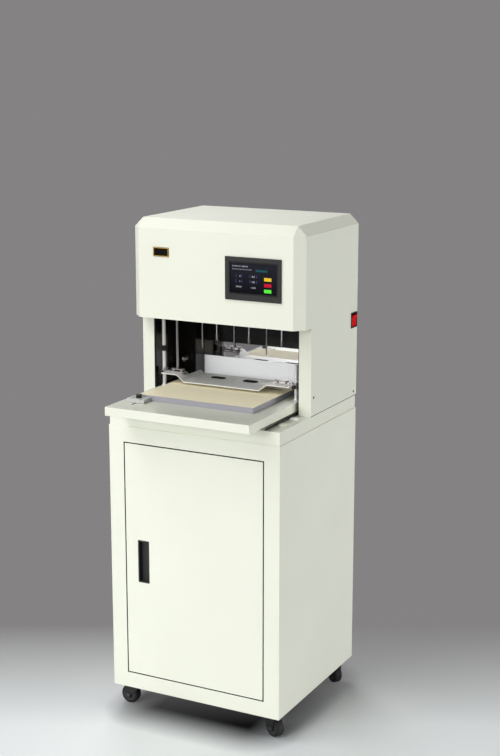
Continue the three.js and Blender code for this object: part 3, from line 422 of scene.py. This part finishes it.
WELD_DISTANCE = 0.002 * MM
SMOOTH_LIMIT = math.radians(32)  # edges sharper than this stay sharp
BEVEL_LIMIT = math.radians(34)  # edges sharper than this are rounded
EDGE_WIDTH = 0.5  # in millimetres, as below
EDGE_WIDTHS = {
    "head_hood": 1.0,
    "left_column_panel": 0.3,
    "right_column_panel": 0.3,
    "cabinet_front_frame": 0.25,
    "cabinet_left_panel": 0.25,
    "cabinet_right_panel": 0.25,
    "work_table": 1.0,
    "cabinet_top_tray": 0.25,
    "screen_bezel": 1.2,
    "door_handle": 1.0,
    "paper_bed": 0.8,
    "side_gauge": 0.8,
    "screen_pane": 0.15,
    "nameplate": 0.3,
    "power_rocker": 0.8,
}


def geometry_tree(name):
    """A node group for a modifier, with its input and output nodes."""
    tree = bpy.data.node_groups.new(name, "GeometryNodeTree")
    for way in ("INPUT", "OUTPUT"):
        tree.interface.new_socket("Geometry", in_out=way, socket_type="NodeSocketGeometry")
    return tree, tree.nodes.new("NodeGroupInput"), tree.nodes.new("NodeGroupOutput")


def weld_tree():
    """Joins the frame's separate triangles and drops their stored normals."""
    tree, start, stop = geometry_tree("weld_faces")
    clear = tree.nodes.new("GeometryNodeRemoveAttribute")
    clear.inputs["Name"].default_value = "custom_normal"
    merge = tree.nodes.new("GeometryNodeMergeByDistance")
    merge.inputs["Distance"].default_value = WELD_DISTANCE
    tree.links.new(start.outputs[0], clear.inputs["Geometry"])
    tree.links.new(clear.outputs["Geometry"], merge.inputs["Geometry"])
    tree.links.new(merge.outputs["Geometry"], stop.inputs[0])
    return tree


def smooth_tree():
    """Shades faces smooth except across sharp edges."""
    tree, start, stop = geometry_tree("smooth_by_angle")
    angle = tree.nodes.new("GeometryNodeInputMeshEdgeAngle")
    gentle = tree.nodes.new("FunctionNodeCompare")
    gentle.data_type = "FLOAT"
    gentle.operation = "LESS_EQUAL"
    gentle.inputs["B"].default_value = SMOOTH_LIMIT
    edges = tree.nodes.new("GeometryNodeSetShadeSmooth")
    edges.domain = "EDGE"
    faces = tree.nodes.new("GeometryNodeSetShadeSmooth")
    faces.domain = "FACE"
    tree.links.new(angle.outputs["Unsigned Angle"], gentle.inputs["A"])
    tree.links.new(start.outputs[0], edges.inputs["Geometry"])
    tree.links.new(gentle.outputs["Result"], edges.inputs["Shade Smooth"])
    tree.links.new(edges.outputs["Geometry"], faces.inputs["Geometry"])
    tree.links.new(faces.outputs["Geometry"], stop.inputs[0])
    return tree


WELD = weld_tree()
SMOOTH = smooth_tree()


def add_tree(piece, tree):
    piece.modifiers.new(tree.name, "NODES").node_group = tree


def round_edges(piece, width):
    bevel = piece.modifiers.new("rounded_edges", "BEVEL")
    bevel.width = width
    bevel.segments = 3
    bevel.limit_method = "ANGLE"
    bevel.angle_limit = BEVEL_LIMIT
    bevel.use_clamp_overlap = True


def settle_normals(piece):
    add_tree(piece, SMOOTH)
    piece.modifiers.new("even_normals", "WEIGHTED_NORMAL").keep_sharp = True


for entry in frame["record"]["subparts"]:
    name = entry["node"]
    node = frame["nodes"][name]
    node.data.materials.clear()
    node.data.materials.append(NODE_LOOKS.get(name, LOOKS[entry["material_slot"]]))
    add_tree(node, WELD)
    round_edges(node, EDGE_WIDTHS.get(name, EDGE_WIDTH) * MM)
    settle_normals(node)


# Mesh helpers for the added pieces

MERGE_DISTANCE = 0.0005 * MM
ON_AXIS = 1e-7  # a radius below this is a point on the axis
SHARP_LIMIT = math.radians(35)
TRIM_EDGE = 0.1 * MM  # rounding on thin strips


def finish_piece(name, mesh, body, place=None):
    """Adds a mesh as a piece that moves with a body, smooth shaded except across sharp edges."""
    mesh.polygons.foreach_set("use_smooth", [True] * len(mesh.polygons))
    mesh.set_sharp_from_angle(angle=SHARP_LIMIT)
    piece = bpy.data.objects.new(name, mesh)
    bpy.context.scene.collection.objects.link(piece)
    if place is not None:
        piece.matrix_world = place
    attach(piece, body)
    return piece


def mesh_from(name, build):
    """The mesh that build draws."""
    bm = bmesh.new()
    build(bm)
    bmesh.ops.remove_doubles(bm, verts=bm.verts, dist=MERGE_DISTANCE)
    bmesh.ops.recalc_face_normals(bm, faces=bm.faces)
    mesh = bpy.data.meshes.new(name)
    bm.to_mesh(mesh)
    bm.free()
    return mesh


def add_piece(name, build, look, body, place=None):
    mesh = mesh_from(name, build)
    mesh.materials.append(look)
    return finish_piece(name, mesh, body, place)


def add_lathe(bm, profile, sides, place=Matrix.Identity(4), stretch=0.0):
    """Turns (radius, height) points about Z, drawn out along X by stretch.

    Points on the axis close the form.
    """
    rings = []
    for radius, height in profile:
        if radius < ON_AXIS:
            rings.append([bm.verts.new(place @ Vector((0, 0, height)))])
            continue
        ring = []
        for i in range(sides):
            angle = math.tau * (i + 0.5) / sides
            x = radius * math.cos(angle) + math.copysign(stretch, math.cos(angle))
            ring.append(bm.verts.new(place @ Vector((x, radius * math.sin(angle), height))))
        rings.append(ring)
    for first, second in zip(rings, rings[1:]):
        for i in range(sides):
            j = (i + 1) % sides
            corners = (first[i % len(first)], first[j % len(first)],
                       second[j % len(second)], second[i % len(second)])
            unique = list(dict.fromkeys(corners))
            if len(unique) > 2:
                bm.faces.new(unique)


def add_block(bm, a, b, bevel=0.0, segments=1):
    """A box between two corners, with its edges rounded where bevel is given."""
    made = bmesh.ops.create_cube(bm, size=1)["verts"]
    size = Vector(b) - Vector(a)
    centre = (Vector(b) + Vector(a)) / 2
    for vertex in made:
        vertex.co = Vector([vertex.co[k] * size[k] + centre[k] for k in range(3)])
    if bevel > 0:
        edges = list({edge for vertex in made for edge in vertex.link_edges})
        bmesh.ops.bevel(bm, geom=edges, offset=bevel, segments=segments, profile=0.5,
                        affect="EDGES", clamp_overlap=True)


def add_border(bm, x0, x1, z0, z1, line, front, back):
    """Four strips, line wide, along the inside of a rectangle that faces the front."""
    for left, bottom, right, top in (
        (x0, z1 - line, x1, z1),
        (x0, z0, x1, z0 + line),
        (x0, z0 + line, x0 + line, z1 - line),
        (x1 - line, z0 + line, x1, z1 - line),
    ):
        add_block(bm, (left, front, bottom), (right, back, top), TRIM_EDGE)


def in_mm(points):
    return [(radius * MM, height * MM) for radius, height in points]


def dome(radius, rim, rise):
    """The outline of a low dome, from above its rim to its top."""
    angles = [math.radians(degrees) for degrees in range(15, 90, 15)]
    return [*((radius * math.cos(a), rim + (rise - rim) * math.sin(a)) for a in angles), (0, rise)]


def facing(place, normal):
    """A frame at place whose Z points along normal."""
    return Matrix.Translation(place) @ Vector(normal).to_track_quat("Z", "Y").to_matrix().to_4x4()


def screw_mesh(name, radius, rise, look):
    """A pan-head screw with a cross recess, its head standing on Z = 0."""
    sunk, rim = -0.4 * rise, 0.12 * rise
    profile = [(0, sunk), (radius * 0.96, sunk), (radius, rim), *dome(radius, rim, rise)]
    body = bpy.data.objects.new(name, mesh_from(name, lambda bm: add_lathe(bm, profile, 28)))
    bpy.context.scene.collection.objects.link(body)
    long, narrow, floor, above = radius * 0.62, radius * 0.14, rise * 0.45, rise * 2
    tools = []
    for x, y in ((long, narrow), (narrow, long)):
        slot = mesh_from(f"{name}_slot", lambda bm: add_block(bm, (-x, -y, floor), (x, y, above)))
        tool = bpy.data.objects.new(slot.name, slot)
        bpy.context.scene.collection.objects.link(tool)
        cut = body.modifiers.new("slot", "BOOLEAN")
        cut.operation = "DIFFERENCE"
        cut.solver = "EXACT"
        cut.object = tool
        tools.append(tool)
    bpy.context.view_layer.update()
    shaped = bpy.data.meshes.new_from_object(body.evaluated_get(bpy.context.evaluated_depsgraph_get()))
    for made in (body, *tools):
        bpy.data.objects.remove(made)
    shaped.name = name
    shaped.materials.clear()
    shaped.materials.append(look)
    return shaped


def place_screws(prefix, mesh, body, spots, normal):
    for i, spot in enumerate(spots):
        finish_piece(f"{prefix}_{i + 1}", mesh, body, facing(spot, normal))


# Screws, caps, and black strips of painted shade on the outside

BLACK_SCREW = screw_mesh("black_screw", 3.0 * MM, 1.3 * MM, BLACK_OXIDE)
PAINTED_SCREW = screw_mesh("painted_screw", 3.4 * MM, 1.0 * MM, LOOKS["cream_paint"])
STEEL_SCREW = screw_mesh("steel_screw", 3.0 * MM, 1.6 * MM, LOOKS["steel"])


def side_screws():
    """Two black screws low on each side sheet, one near the column's front and one at the back."""
    for side, word in reversed(SIDES):
        node = f"{word}_column_panel"
        a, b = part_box(node)
        x = b.x if side > 0 else a.x
        spots = [
            Vector((x, COLUMN_FRONT + 15 * MM, DECK + 44 * MM)),
            Vector((x, b.y - 17 * MM, DECK + 12 * MM)),
        ]
        place_screws(f"{node}_screw", BLACK_SCREW, "frame", spots, (side, 0, 0))


def top_screws():
    """Two painted screws on the head's top."""
    out, behind = 133 * MM, 126 * MM
    z = high("head_hood").z
    spots = [Vector((CENTRE_X + x, CENTRE_Y + behind, z)) for x in (-out, out)]
    place_screws("head_top_screw", PAINTED_SCREW, "frame", spots, (0, 0, 1))


def back_screws():
    """Three black screws down either side of each back cover."""
    for node, below_top, inset in (
        ("rear_cover", 40 * MM, 12 * MM),
        ("cabinet_back_panel", 14 * MM, 14 * MM),
    ):
        a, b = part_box(node)
        bottom = a.z + inset
        spots = [
            Vector((x, b.y, bottom + share * (b.z - below_top - a.z - inset)))
            for x in (a.x + inset, b.x - inset)
            for share in (0.0, 0.5, 1.0)
        ]
        place_screws(f"{node}_screw", BLACK_SCREW, "frame", spots, (0, 1, 0))


def deck_caps():
    """Two round plugs on the cabinet top beside the table."""
    radius, rim, rise = 11 * MM, 1 * MM, 4 * MM
    profile = [(0, 0), (radius, 0), (radius, rim), *dome(radius, rim, rise)]
    for name, look, x, y in (
        ("deck_cap_back", CAP_WHITE, 198 * MM, -83 * MM),
        ("deck_cap_front", CAP_PALE, 200.5 * MM, -146 * MM),
    ):
        add_piece(name, lambda bm: add_lathe(bm, profile, 40), look, "frame",
                  Matrix.Translation(from_deck(x, y)))


def door_gap_shade_strips():
    """Thin black strips in the gap round the door, on two edges of the door and two of the frame, that
    paint shade into the gap.
    """
    a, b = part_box("cabinet_door")
    gap = 3 * MM
    thick = 0.4 * MM
    y0 = a.y + 0.8 * MM
    y1 = y0 + 12 * MM
    left, bottom = a.x - gap, a.z - gap
    strips = {
        "door_gap_shade_right": ("door", (b.x, y0, a.z), (b.x + thick, y1, b.z)),
        "door_gap_shade_top": ("door", (a.x, y0, b.z), (b.x, y1, b.z + thick)),
        "frame_gap_shade_left": ("frame", (left, y0, bottom), (left + thick, y1, b.z + gap)),
        "frame_gap_shade_bottom": ("frame", (left, y0, bottom), (b.x + gap, y1, bottom + thick)),
    }
    for name, (body, first, second) in strips.items():
        add_piece(name, lambda bm: add_block(bm, first, second, TRIM_EDGE), SEAL_AND_PAINTED_SHADE, body)


def foot_shade_strip(name, side, face, front, back, inside, outside, bottom, top, edge=TRIM_EDGE):
    """A black bead along the foot of an upright face that looks to the left or right, as painted shade.
    """
    inner, outer = sorted((face - side * inside, face + side * outside))
    add_piece(name, lambda bm: add_block(bm, (inner, front, bottom), (outer, back, top), edge),
              SEAL_AND_PAINTED_SHADE, "frame")


def column_foot_shade():
    """A black bead between the side sheet of each column and the cabinet top, as painted shade in the
    seam.
    """
    for side, word in SIDES:
        node = f"{word}_column_panel"
        a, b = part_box(node)
        foot_shade_strip(f"{node}_seal", side, b.x if side > 0 else a.x, COLUMN_FRONT, b.y,
                  0.8 * MM, 0.15 * MM, DECK - 0.1 * MM, DECK + 1.4 * MM, 0.08 * MM)


def table_foot_shade():
    """A black strip at the foot of each side of the table, where it lies on the cabinet top, as painted
    shade.
    """
    a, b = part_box("work_table")
    front = low("cabinet_top_tray").y + 0.5 * MM
    back = COLUMN_FRONT + 100 * MM
    for side, word in SIDES:
        foot_shade_strip(f"table_shade_strip_{word}", side, b.x if side > 0 else a.x, front, back,
                  0.2 * MM, 0.4 * MM, DECK + 0.05 * MM, DECK + 4 * MM)


side_screws()
top_screws()
back_screws()
deck_caps()
door_gap_shade_strips()
column_foot_shade()
table_foot_shade()


# Details inside the working space

COVER_FRONT = low("rear_fence").y - 44 * MM  # front face of the black drive cover


def cover_knob():
    """A polished ball knob on the drive cover's front."""
    ball, neck, stem = 8.5 * MM, 3.5 * MM, 6 * MM
    profile = [(0, 0), (neck * 1.8, 0), (neck * 1.8, 1.2 * MM), (neck, 1.8 * MM), (neck, stem)]
    steps = 14
    start, stop = math.asin(neck / ball) - math.pi / 2, math.pi / 2
    for i in range(steps):
        angle = start + (stop - start) * i / steps
        profile.append((ball * math.cos(angle), stem + ball + ball * math.sin(angle)))
    profile.append((0, stem + 2 * ball))
    spot = Vector((CENTRE_X - 176 * MM, COVER_FRONT, DECK + 80 * MM))
    add_piece("cover_knob", lambda bm: add_lathe(bm, profile, 36), LOOKS["chrome"], "frame",
              facing(spot, (0, -1, 0)))


def thumb_screws():
    """A thumb screw in the front of each bracket's collar, which runs on its guide post."""
    collar, sunk = 9 * MM, 0.5 * MM
    profile = in_mm([(0, 0), (2.2, 0), (2.2, 2.5), (4.4, 3.0), (4.6, 3.6), (4.6, 8.4), (4.2, 9),
                     (0, 9.2)])
    for _, word in SIDES:
        node = f"press_bracket_{word}"
        axis = middle(f"guide_post_{word}")
        spot = Vector((axis.x, axis.y - collar + sunk, low(node).z + 4 * MM))
        add_piece(f"{node}_thumb_screw", lambda bm: add_lathe(bm, profile, 28),
                  LOOKS["black_plastic"], "press", facing(spot, (0, -1, 0)))


def bracket_screws():
    """A screw that holds each raised end of the press plate to its bracket."""
    foot = 2.3 * MM  # the bracket's foot stands this high over the plate
    for side, word in SIDES:
        axis = middle(f"guide_post_{word}")
        spot = Vector((axis.x - side * 15.5 * MM, axis.y, high("press_plate").z + foot))
        place_screws(f"press_bracket_{word}_screw", STEEL_SCREW, "press", [spot], (0, 0, 1))


def window_shade_liners():
    """A black liner round each oval window of the press plate, as painted shade in the window."""
    crank = 12.5 * MM  # the plate's middle lies this much below its ends
    height = high("press_plate").z - crank
    profile = in_mm([(5.5, -3.2), (7.7, -3.2), (7.7, 0.15), (9.6, 0.15), (9.6, 1.0), (9.2, 1.4),
                     (6.0, 1.4), (5.5, 0.9), (5.5, -3.2)])
    for number in (1, 2):
        axis = middle(f"drill_bit_{number}")
        add_piece(f"window_shade_liner_{number}",
                  lambda bm: add_lathe(bm, profile, 40, stretch=10 * MM),
                  SEAL_AND_PAINTED_SHADE, "press",
                  Matrix.Translation((axis.x + 4 * MM, axis.y, height)))


cover_knob()
thumb_screws()
bracket_screws()
window_shade_liners()


# Drill bits with helical flutes in place of the frame's plain bits

def fluted_bit(index):
    """A twist drill with two flutes, its plain shank and the chuck that holds it."""
    node = f"drill_bit_{index}"
    a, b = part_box(node)
    axis = middle(node)
    tip, top = a.z, b.z
    wide, shank, chuck = 2.8 * MM, 2.0 * MM, 4.0 * MM
    point = 2.4 * MM
    flute_top = tip + 17 * MM
    chuck_low = top - 30 * MM
    pitch, depth = 14 * MM, 0.42
    sides, steps = 24, 30

    def radius_at(z, angle):
        if z < tip + point:
            base = wide * (z - tip) / point * 0.98 + 0.02 * MM
        else:
            base = wide
        groove = max(0.0, math.cos(2 * (angle - math.tau * (z - tip) / pitch)))
        return base * (1 - depth * groove ** 3)

    def build(bm):
        turns = [math.tau * k / sides for k in range(sides)]
        levels = []
        for i in range(steps + 1):
            z = tip + (flute_top - tip) * i / steps
            levels.append((z, [radius_at(z, turn) for turn in turns]))
        for z, radius in ((flute_top + 1.2 * MM, shank), (chuck_low, shank),
                          (chuck_low + 1.5 * MM, chuck), (top, chuck)):
            levels.append((z, [radius] * sides))
        rings = [
            [bm.verts.new((axis.x + r * math.cos(turn), axis.y + r * math.sin(turn), z))
             for turn, r in zip(turns, radii)]
            for z, radii in levels
        ]
        for first, second in zip(rings, rings[1:]):
            for k in range(sides):
                j = (k + 1) % sides
                bm.faces.new((first[k], first[j], second[j], second[k]))
        bm.faces.new(rings[0][::-1])
        bm.faces.new(rings[-1])

    piece = add_piece(f"fluted_bit_{index}", build, LOOKS["steel"], f"bit_{index}")
    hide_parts(node)


for number in (1, 2, 3):
    fluted_bit(number)


# Touch screen picture and nameplate border

PANE_A, PANE_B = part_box("screen_pane")


def on_screen(across, down):
    """A point on the screen, as shares of its width and height from the top left."""
    return PANE_A.x + across * (PANE_B.x - PANE_A.x), PANE_B.z - down * (PANE_B.z - PANE_A.z)


def screen_rects(name, rects, look, bevel, rise):
    """Thin raised rectangles on the screen, given as (left, top, right, bottom) shares."""
    def build(bm):
        for left, top, right, bottom in rects:
            x0, z1 = on_screen(left, top)
            x1, z0 = on_screen(right, bottom)
            add_block(bm, (x0, PANE_A.y - rise, z0), (x1, PANE_A.y - 0.02 * MM, z1), bevel)
    add_piece(name, build, look, "frame")


def row_of_marks(rng, start, stop, top, height, unit):
    """Short bars that stand for a line of small lettering, with no letter in it."""
    rects = []
    x = start
    while x < stop:
        width = unit * rng.uniform(0.55, 1.2)
        shift = height * rng.uniform(0, 0.25)
        rects.append((x, top + shift, min(x + width, stop), top + height - shift * 0.6))
        x += width + unit * rng.uniform(0.35, 0.8)
    return rects


def screen_picture():
    """Three keys, rows of small marks, faint columns and a patch."""
    rng = random.Random(7)
    key_left, key_width, key_height = 0.73, 0.155, 0.115
    keys = (("yellow", 0.44, YELLOW_KEY), ("red", 0.635, RED_KEY), ("green", 0.825, GREEN_KEY))
    for word, top, look in keys:
        key = (key_left, top, key_left + key_width, top + key_height)
        screen_rects(f"screen_key_{word}", [key], look, 0.25 * MM, 0.35 * MM)
    rows = [(0.05, 0.38, 0.09, 0.045, 0.020), (0.05, 0.46, 0.20, 0.028, 0.016)]
    for down in (0.40, 0.575):
        rows += [(0.47, 0.53, down, 0.07, 0.016), (0.20, 0.225, down + 0.005, 0.06, 0.014)]
    rows += [(0.13, 0.25, 0.765, 0.05, 0.017), (0.45, 0.55, 0.775, 0.05, 0.017)]
    marks = [rect for row in rows for rect in row_of_marks(rng, *row)]
    screen_rects("screen_marks", marks, WHITE_MARK, 0.05 * MM, 0.2 * MM)
    columns = [(left, down, left + 0.015, down + 0.10)
               for down in (0.385, 0.56) for left in (0.12, 0.42, 0.245, 0.565)]
    screen_rects("screen_columns", columns, VIOLET_MARK, 0.05 * MM, 0.18 * MM)
    screen_rects("screen_patch", [(0.55, 0.195, 0.80, 0.265)], TEAL_PATCH, 0.05 * MM, 0.18 * MM)


def screen_gasket():
    """A black rubber frame round the screen, on the inner edge of its bezel."""
    width = 3.5 * MM
    front = low("screen_bezel").y - 0.15 * MM
    back = PANE_A.y - 0.1 * MM
    add_piece("screen_gasket",
              lambda bm: add_border(bm, PANE_A.x - width, PANE_B.x + width, PANE_A.z - width,
                                    PANE_B.z + width, width, front, back),
              SEAL_AND_PAINTED_SHADE, "frame")


def nameplate_border():
    """A thin raised gold line round the bare plate."""
    a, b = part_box("nameplate")
    inset, line = 1.0 * MM, 1.1 * MM
    front = a.y - 0.25 * MM
    back = a.y + 0.1 * MM
    add_piece("nameplate_border",
              lambda bm: add_border(bm, a.x + inset, b.x - inset, a.z + inset, b.z - inset, line,
                                    front, back),
              GOLD, "frame")


screen_picture()
screen_gasket()
nameplate_border()


# Casters: wheel discs and axle caps

AXLES = {joint["child"]: Vector(joint["axis"]) for joint in frame["record"]["behaviour"]["joints"]}
DISC_OUTLINE = in_mm([(3.6, -0.3), (8.6, 0.35), (9.6, -0.2), (13.6, -0.2), (14.8, 0.5), (16.4, 0.5),
                      (16.8, 0.0), (16.8, -0.5), (3.6, -0.5), (3.6, -0.3)])
CAP_OUTLINE = in_mm([(0, 1.6), (3.2, 1.5), (4.6, 0.9), (5.0, 0), (5.0, -1.2), (0, -1.2)])
DISC_REACH = 10.25 * MM  # from the wheel's middle to the disc's seat and to the cap's
CAP_REACH = 15.6 * MM


def caster_details(place):
    """A dished disc on either face of the wheel and a cap on either end of its axle."""
    centre = middle(f"caster_wheel_{place}")
    for word, way in (("outer", 1), ("inner", -1)):
        out = AXLES[f"wheel_{place}"] * way
        for kind, outline, look, reach, body, slot in (
            ("wheel_disc", DISC_OUTLINE, DISC, DISC_REACH, f"wheel_{place}", "wheel_rubber"),
            ("axle_cap", CAP_OUTLINE, AXLE_STEEL, CAP_REACH, f"fork_{place}", "steel"),
        ):
            add_piece(f"{kind}_{place}_{word}", lambda bm: add_lathe(bm, outline, 48), look, body,
                      facing(centre + out * reach, out))


for row in ("front", "rear"):
    for column in ("left", "right"):
        caster_details(f"{row}_{column}")


# Wound thread on the spool

def spool_dressing():
    """The spool's core with its two rims, in place of the frame's plain spool, and the thread on it."""
    a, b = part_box("thread_spool")
    axis = middle("thread_spool")
    place = Matrix.Translation((axis.x, axis.y, 0))
    bore, core, rim = 6.35 * MM, 18 * MM, (b.x - a.x) / 2
    disc = 3 * MM
    edge, inner_edge = 1 * MM, 0.5 * MM
    full, ridge, turns = 33 * MM, 0.45 * MM, 40
    gap, core_gap = 0.05 * MM, 0.2 * MM

    def build_core(bm):
        add_lathe(bm, [
            (bore, a.z), (rim - edge, a.z), (rim, a.z + edge), (rim, a.z + disc - inner_edge),
            (rim - inner_edge, a.z + disc), (core, a.z + disc), (core, b.z - disc),
            (rim - inner_edge, b.z - disc), (rim, b.z - disc + inner_edge), (rim, b.z - edge),
            (rim - edge, b.z), (bore, b.z), (bore, a.z),
        ], 64, place)

    def build_thread(bm):
        bottom, top = a.z + disc + gap, b.z - disc - gap
        steps = turns * 4
        profile = [(core + core_gap, bottom)]
        for i in range(steps + 1):
            share = i / steps
            swell = ridge * abs(math.sin(math.pi * turns * share))
            profile.append((full + swell, bottom + share * (top - bottom)))
        profile += [(core + core_gap, top), (core + core_gap, bottom)]
        add_lathe(bm, profile, 48, place)

    piece = add_piece("spool_core", build_core, LOOKS["black_plastic"], "spool")
    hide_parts("thread_spool")
    add_piece("wound_thread", build_thread, LOOKS["thread"], "spool")


spool_dressing()


# Power inlet pins

def inlet_pins():
    """Three flat pins in the inlet's recess."""
    outlet = high("power_inlet").y
    centre = middle("power_inlet")
    back, tips = outlet - 16 * MM, outlet - 3 * MM
    half_thick, half_tall = 0.9 * MM, 2.0 * MM

    def build(bm):
        for across, up in ((0, 3.2 * MM), (-7 * MM, -1.6 * MM), (7 * MM, -1.6 * MM)):
            x, z = centre.x + across, centre.z + up
            add_block(bm, (x - half_thick, back, z - half_tall), (x + half_thick, tips, z + half_tall),
                      0.4 * MM, 2)

    add_piece("inlet_pins", build, LOOKS["steel"], "frame")


inlet_pins()


# Stage

BACKDROP = from_srgb(132, 130, 131)
AWAY = Vector((-0.4610, 0.8874, 0))  # straight from the camera over the floor
NEAR_EDGE = -0.16  # where the floor starts to fade, along AWAY from the machine's middle
FAR_EDGE = 0.47  # where it has faded
CLEAR_RADIUS = 1.6  # within this distance of the machine the floor fades along AWAY alone
FADE_RADIUS = 2.6  # beyond this distance it has faded all round
FLOOR_RADII = (0, 0.5, 1.2, 3, 12, 60)
# The floor's colour is darker under and around the cabinet: a painted shadow.
PAINTED_SHADOW_REACH = 0.135  # how far the painted shadow under the cabinet spreads
PAINTED_SHADOW_INSET = (0.10, 0.04)  # how far it stays inside the cabinet's outline, across and in depth
PAINTED_SHADOW_DARK = from_srgb(28, 29, 30)
EVEN_SKY = 0.02  # brightness of the surroundings on all sides
FRONT_GLOW = 1.2  # brightness of their patch in front of the machine, and its direction and tightness
GLOW_TOWARD = (0.0, -0.98, 0.17)
GLOW_TIGHTNESS = 3.0
LAMPS = (  # name, place, what it points at, width and height, watts, spread in degrees
    ("low_key", (-0.8, -3.6, 1.5), (0.05, 0, 0.15), (2.0, 1.0), 6.9, 66),
    ("high_key", (-0.8, -2.6, 3.4), (0, 0, 0.8), (1.6, 1.2), 22, 180),
    ("left_high", (-1.5, -1.3, 3.6), (0, 0, 0.9), (1.4, 1.2), 37, 180),
    ("back_left", (-1.6, 2.2, 3.4), (0, 0, 0.9), (1.6, 1.2), 46, 180),
    ("right_back", (5.2, 1.95, 1.0), (0, 0, 0.6), (2.6, 1.3), 128, 180),
)
LENS = 70.04  # in millimetres, on a sensor 36 mm wide
SENSOR = 36
EYE = (1.6205, -3.042, 0.8306)  # the camera and what it looks at, from the middle of the cabinet top
AIM = (0.0404, 0, 0.0644)


def backdrop_rays(tree):
    """One for the rays that show the backdrop and not the light: camera, glossy and transmission."""
    rays = tree.nodes.new("ShaderNodeLightPath").outputs
    seen = math_step(tree, "MAXIMUM", rays["Is Camera Ray"], rays["Is Glossy Ray"])
    return math_step(tree, "MAXIMUM", seen, rays["Is Transmission Ray"])


def beside_cabinet(finish):
    """Distance of a point of the floor from the painted shadow's outline, nought within it."""
    front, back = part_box("cabinet_front_frame"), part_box("cabinet_back_panel")
    a, b = front[0], Vector((front[1].x, back[1].y, 0))
    centre = Vector(((a.x + b.x) / 2, (a.y + b.y) / 2, 0))
    half = Vector(((b.x - a.x) / 2 - PAINTED_SHADOW_INSET[0], (b.y - a.y) / 2 - PAINTED_SHADOW_INSET[1], 0))
    step = vector_step(finish, "SUBTRACT", finish.place, centre)["Vector"]
    step = vector_step(finish, "ABSOLUTE", step)["Vector"]
    step = vector_step(finish, "SUBTRACT", step, half)["Vector"]
    step = vector_step(finish, "MAXIMUM", step, (0, 0, 0))["Vector"]
    return vector_step(finish, "LENGTH", step)["Value"]


def stage_floor():
    """A pale floor with a painted shadow under the machine.

    To camera, glossy and transmission rays it fades into the grey backdrop.
    """
    mesh = mesh_from("floor", lambda bm: add_lathe(bm, [(radius, 0) for radius in FLOOR_RADII], 64))
    if mesh.polygons[0].normal.z < 0:
        mesh.flip_normals()
    floor = bpy.data.objects.new("floor", mesh)
    bpy.context.scene.collection.objects.link(floor)
    finish = Finish("floor_look")
    pale = finish.mixed(finish.noise(1.5, detail=2), from_srgb(238, 242, 244), from_srgb(243, 246, 247))
    # painted shadow: the floor's colour darkens towards the cabinet
    painted_shadow = finish.ranged(beside_cabinet(finish), 0, 1, stop=PAINTED_SHADOW_REACH)
    finish.colour(finish.mixed(painted_shadow, PAINTED_SHADOW_DARK, pale))
    finish.roughness(finish.ranged(finish.noise(3), 0.45, 0.55))
    finish.set("Specular IOR Level", 0.15)
    depth = vector_step(finish, "DOT_PRODUCT", finish.place, AWAY)["Value"]
    distance = vector_step(finish, "LENGTH", finish.place)["Value"]
    fade = math_step(finish, "MAXIMUM",
                     finish.ranged(depth, 0, 1, start=NEAR_EDGE, stop=FAR_EDGE),
                     finish.ranged(distance, 0, 1, start=CLEAR_RADIUS, stop=FADE_RADIUS))
    far = finish.nodes.new("ShaderNodeEmission")
    far.inputs["Color"].default_value = (*BACKDROP, 1)
    joined = finish.nodes.new("ShaderNodeMixShader")
    finish.link(math_step(finish, "MULTIPLY", fade, backdrop_rays(finish)), joined.inputs["Fac"])
    finish.link(finish.shader.outputs["BSDF"], joined.inputs[1])
    finish.link(far.outputs["Emission"], joined.inputs[2])
    finish.link(joined.outputs["Shader"], finish.nodes["Material Output"].inputs["Surface"])
    mesh.materials.append(finish.material)


def stage_world():
    """Plain surroundings with a soft brighter patch in front.

    Camera, glossy and transmission rays see the grey backdrop in their place.
    """
    world = bpy.data.worlds.new("studio")
    world.use_nodes = True
    tree = world.node_tree
    place = tree.nodes.new("ShaderNodeTexCoord").outputs["Generated"]
    toward = vector_step(tree, "DOT_PRODUCT", place, Vector(GLOW_TOWARD).normalized())["Value"]
    lobe = math_step(tree, "POWER", math_step(tree, "MAXIMUM", toward, 0.0), GLOW_TIGHTNESS)
    total = math_step(tree, "ADD", math_step(tree, "MULTIPLY", lobe, FRONT_GLOW), EVEN_SKY)
    background = tree.nodes["Background"]
    background.inputs["Strength"].default_value = 1.0
    colour = mix_step(tree, backdrop_rays(tree), total, BACKDROP)
    tree.links.new(colour, background.inputs["Color"])
    bpy.context.scene.world = world


def look_from(holder, place, target):
    holder.location = place
    holder.rotation_euler = (Vector(target) - Vector(place)).to_track_quat("-Z", "Y").to_euler()


def soft_box(name, place, target, size, power, spread):
    lamp = bpy.data.lights.new(name, "AREA")
    lamp.shape = "RECTANGLE"
    lamp.size, lamp.size_y = size
    lamp.energy = power
    lamp.spread = math.radians(spread)
    holder = bpy.data.objects.new(name, lamp)
    bpy.context.scene.collection.objects.link(holder)
    look_from(holder, place, target)


def stage_camera():
    """The photograph's view, solved from the cabinet's edges."""
    camera = bpy.data.cameras.new("camera")
    camera.lens = LENS
    camera.sensor_width = SENSOR
    holder = bpy.data.objects.new("camera", camera)
    bpy.context.scene.collection.objects.link(holder)
    look_from(holder, from_deck(*EYE), from_deck(*AIM))
    bpy.context.scene.camera = holder


stage_floor()
stage_world()
for lamp in LAMPS:
    soft_box(*lamp)
stage_camera()
bpy.context.scene.view_settings.view_transform = "Standard"
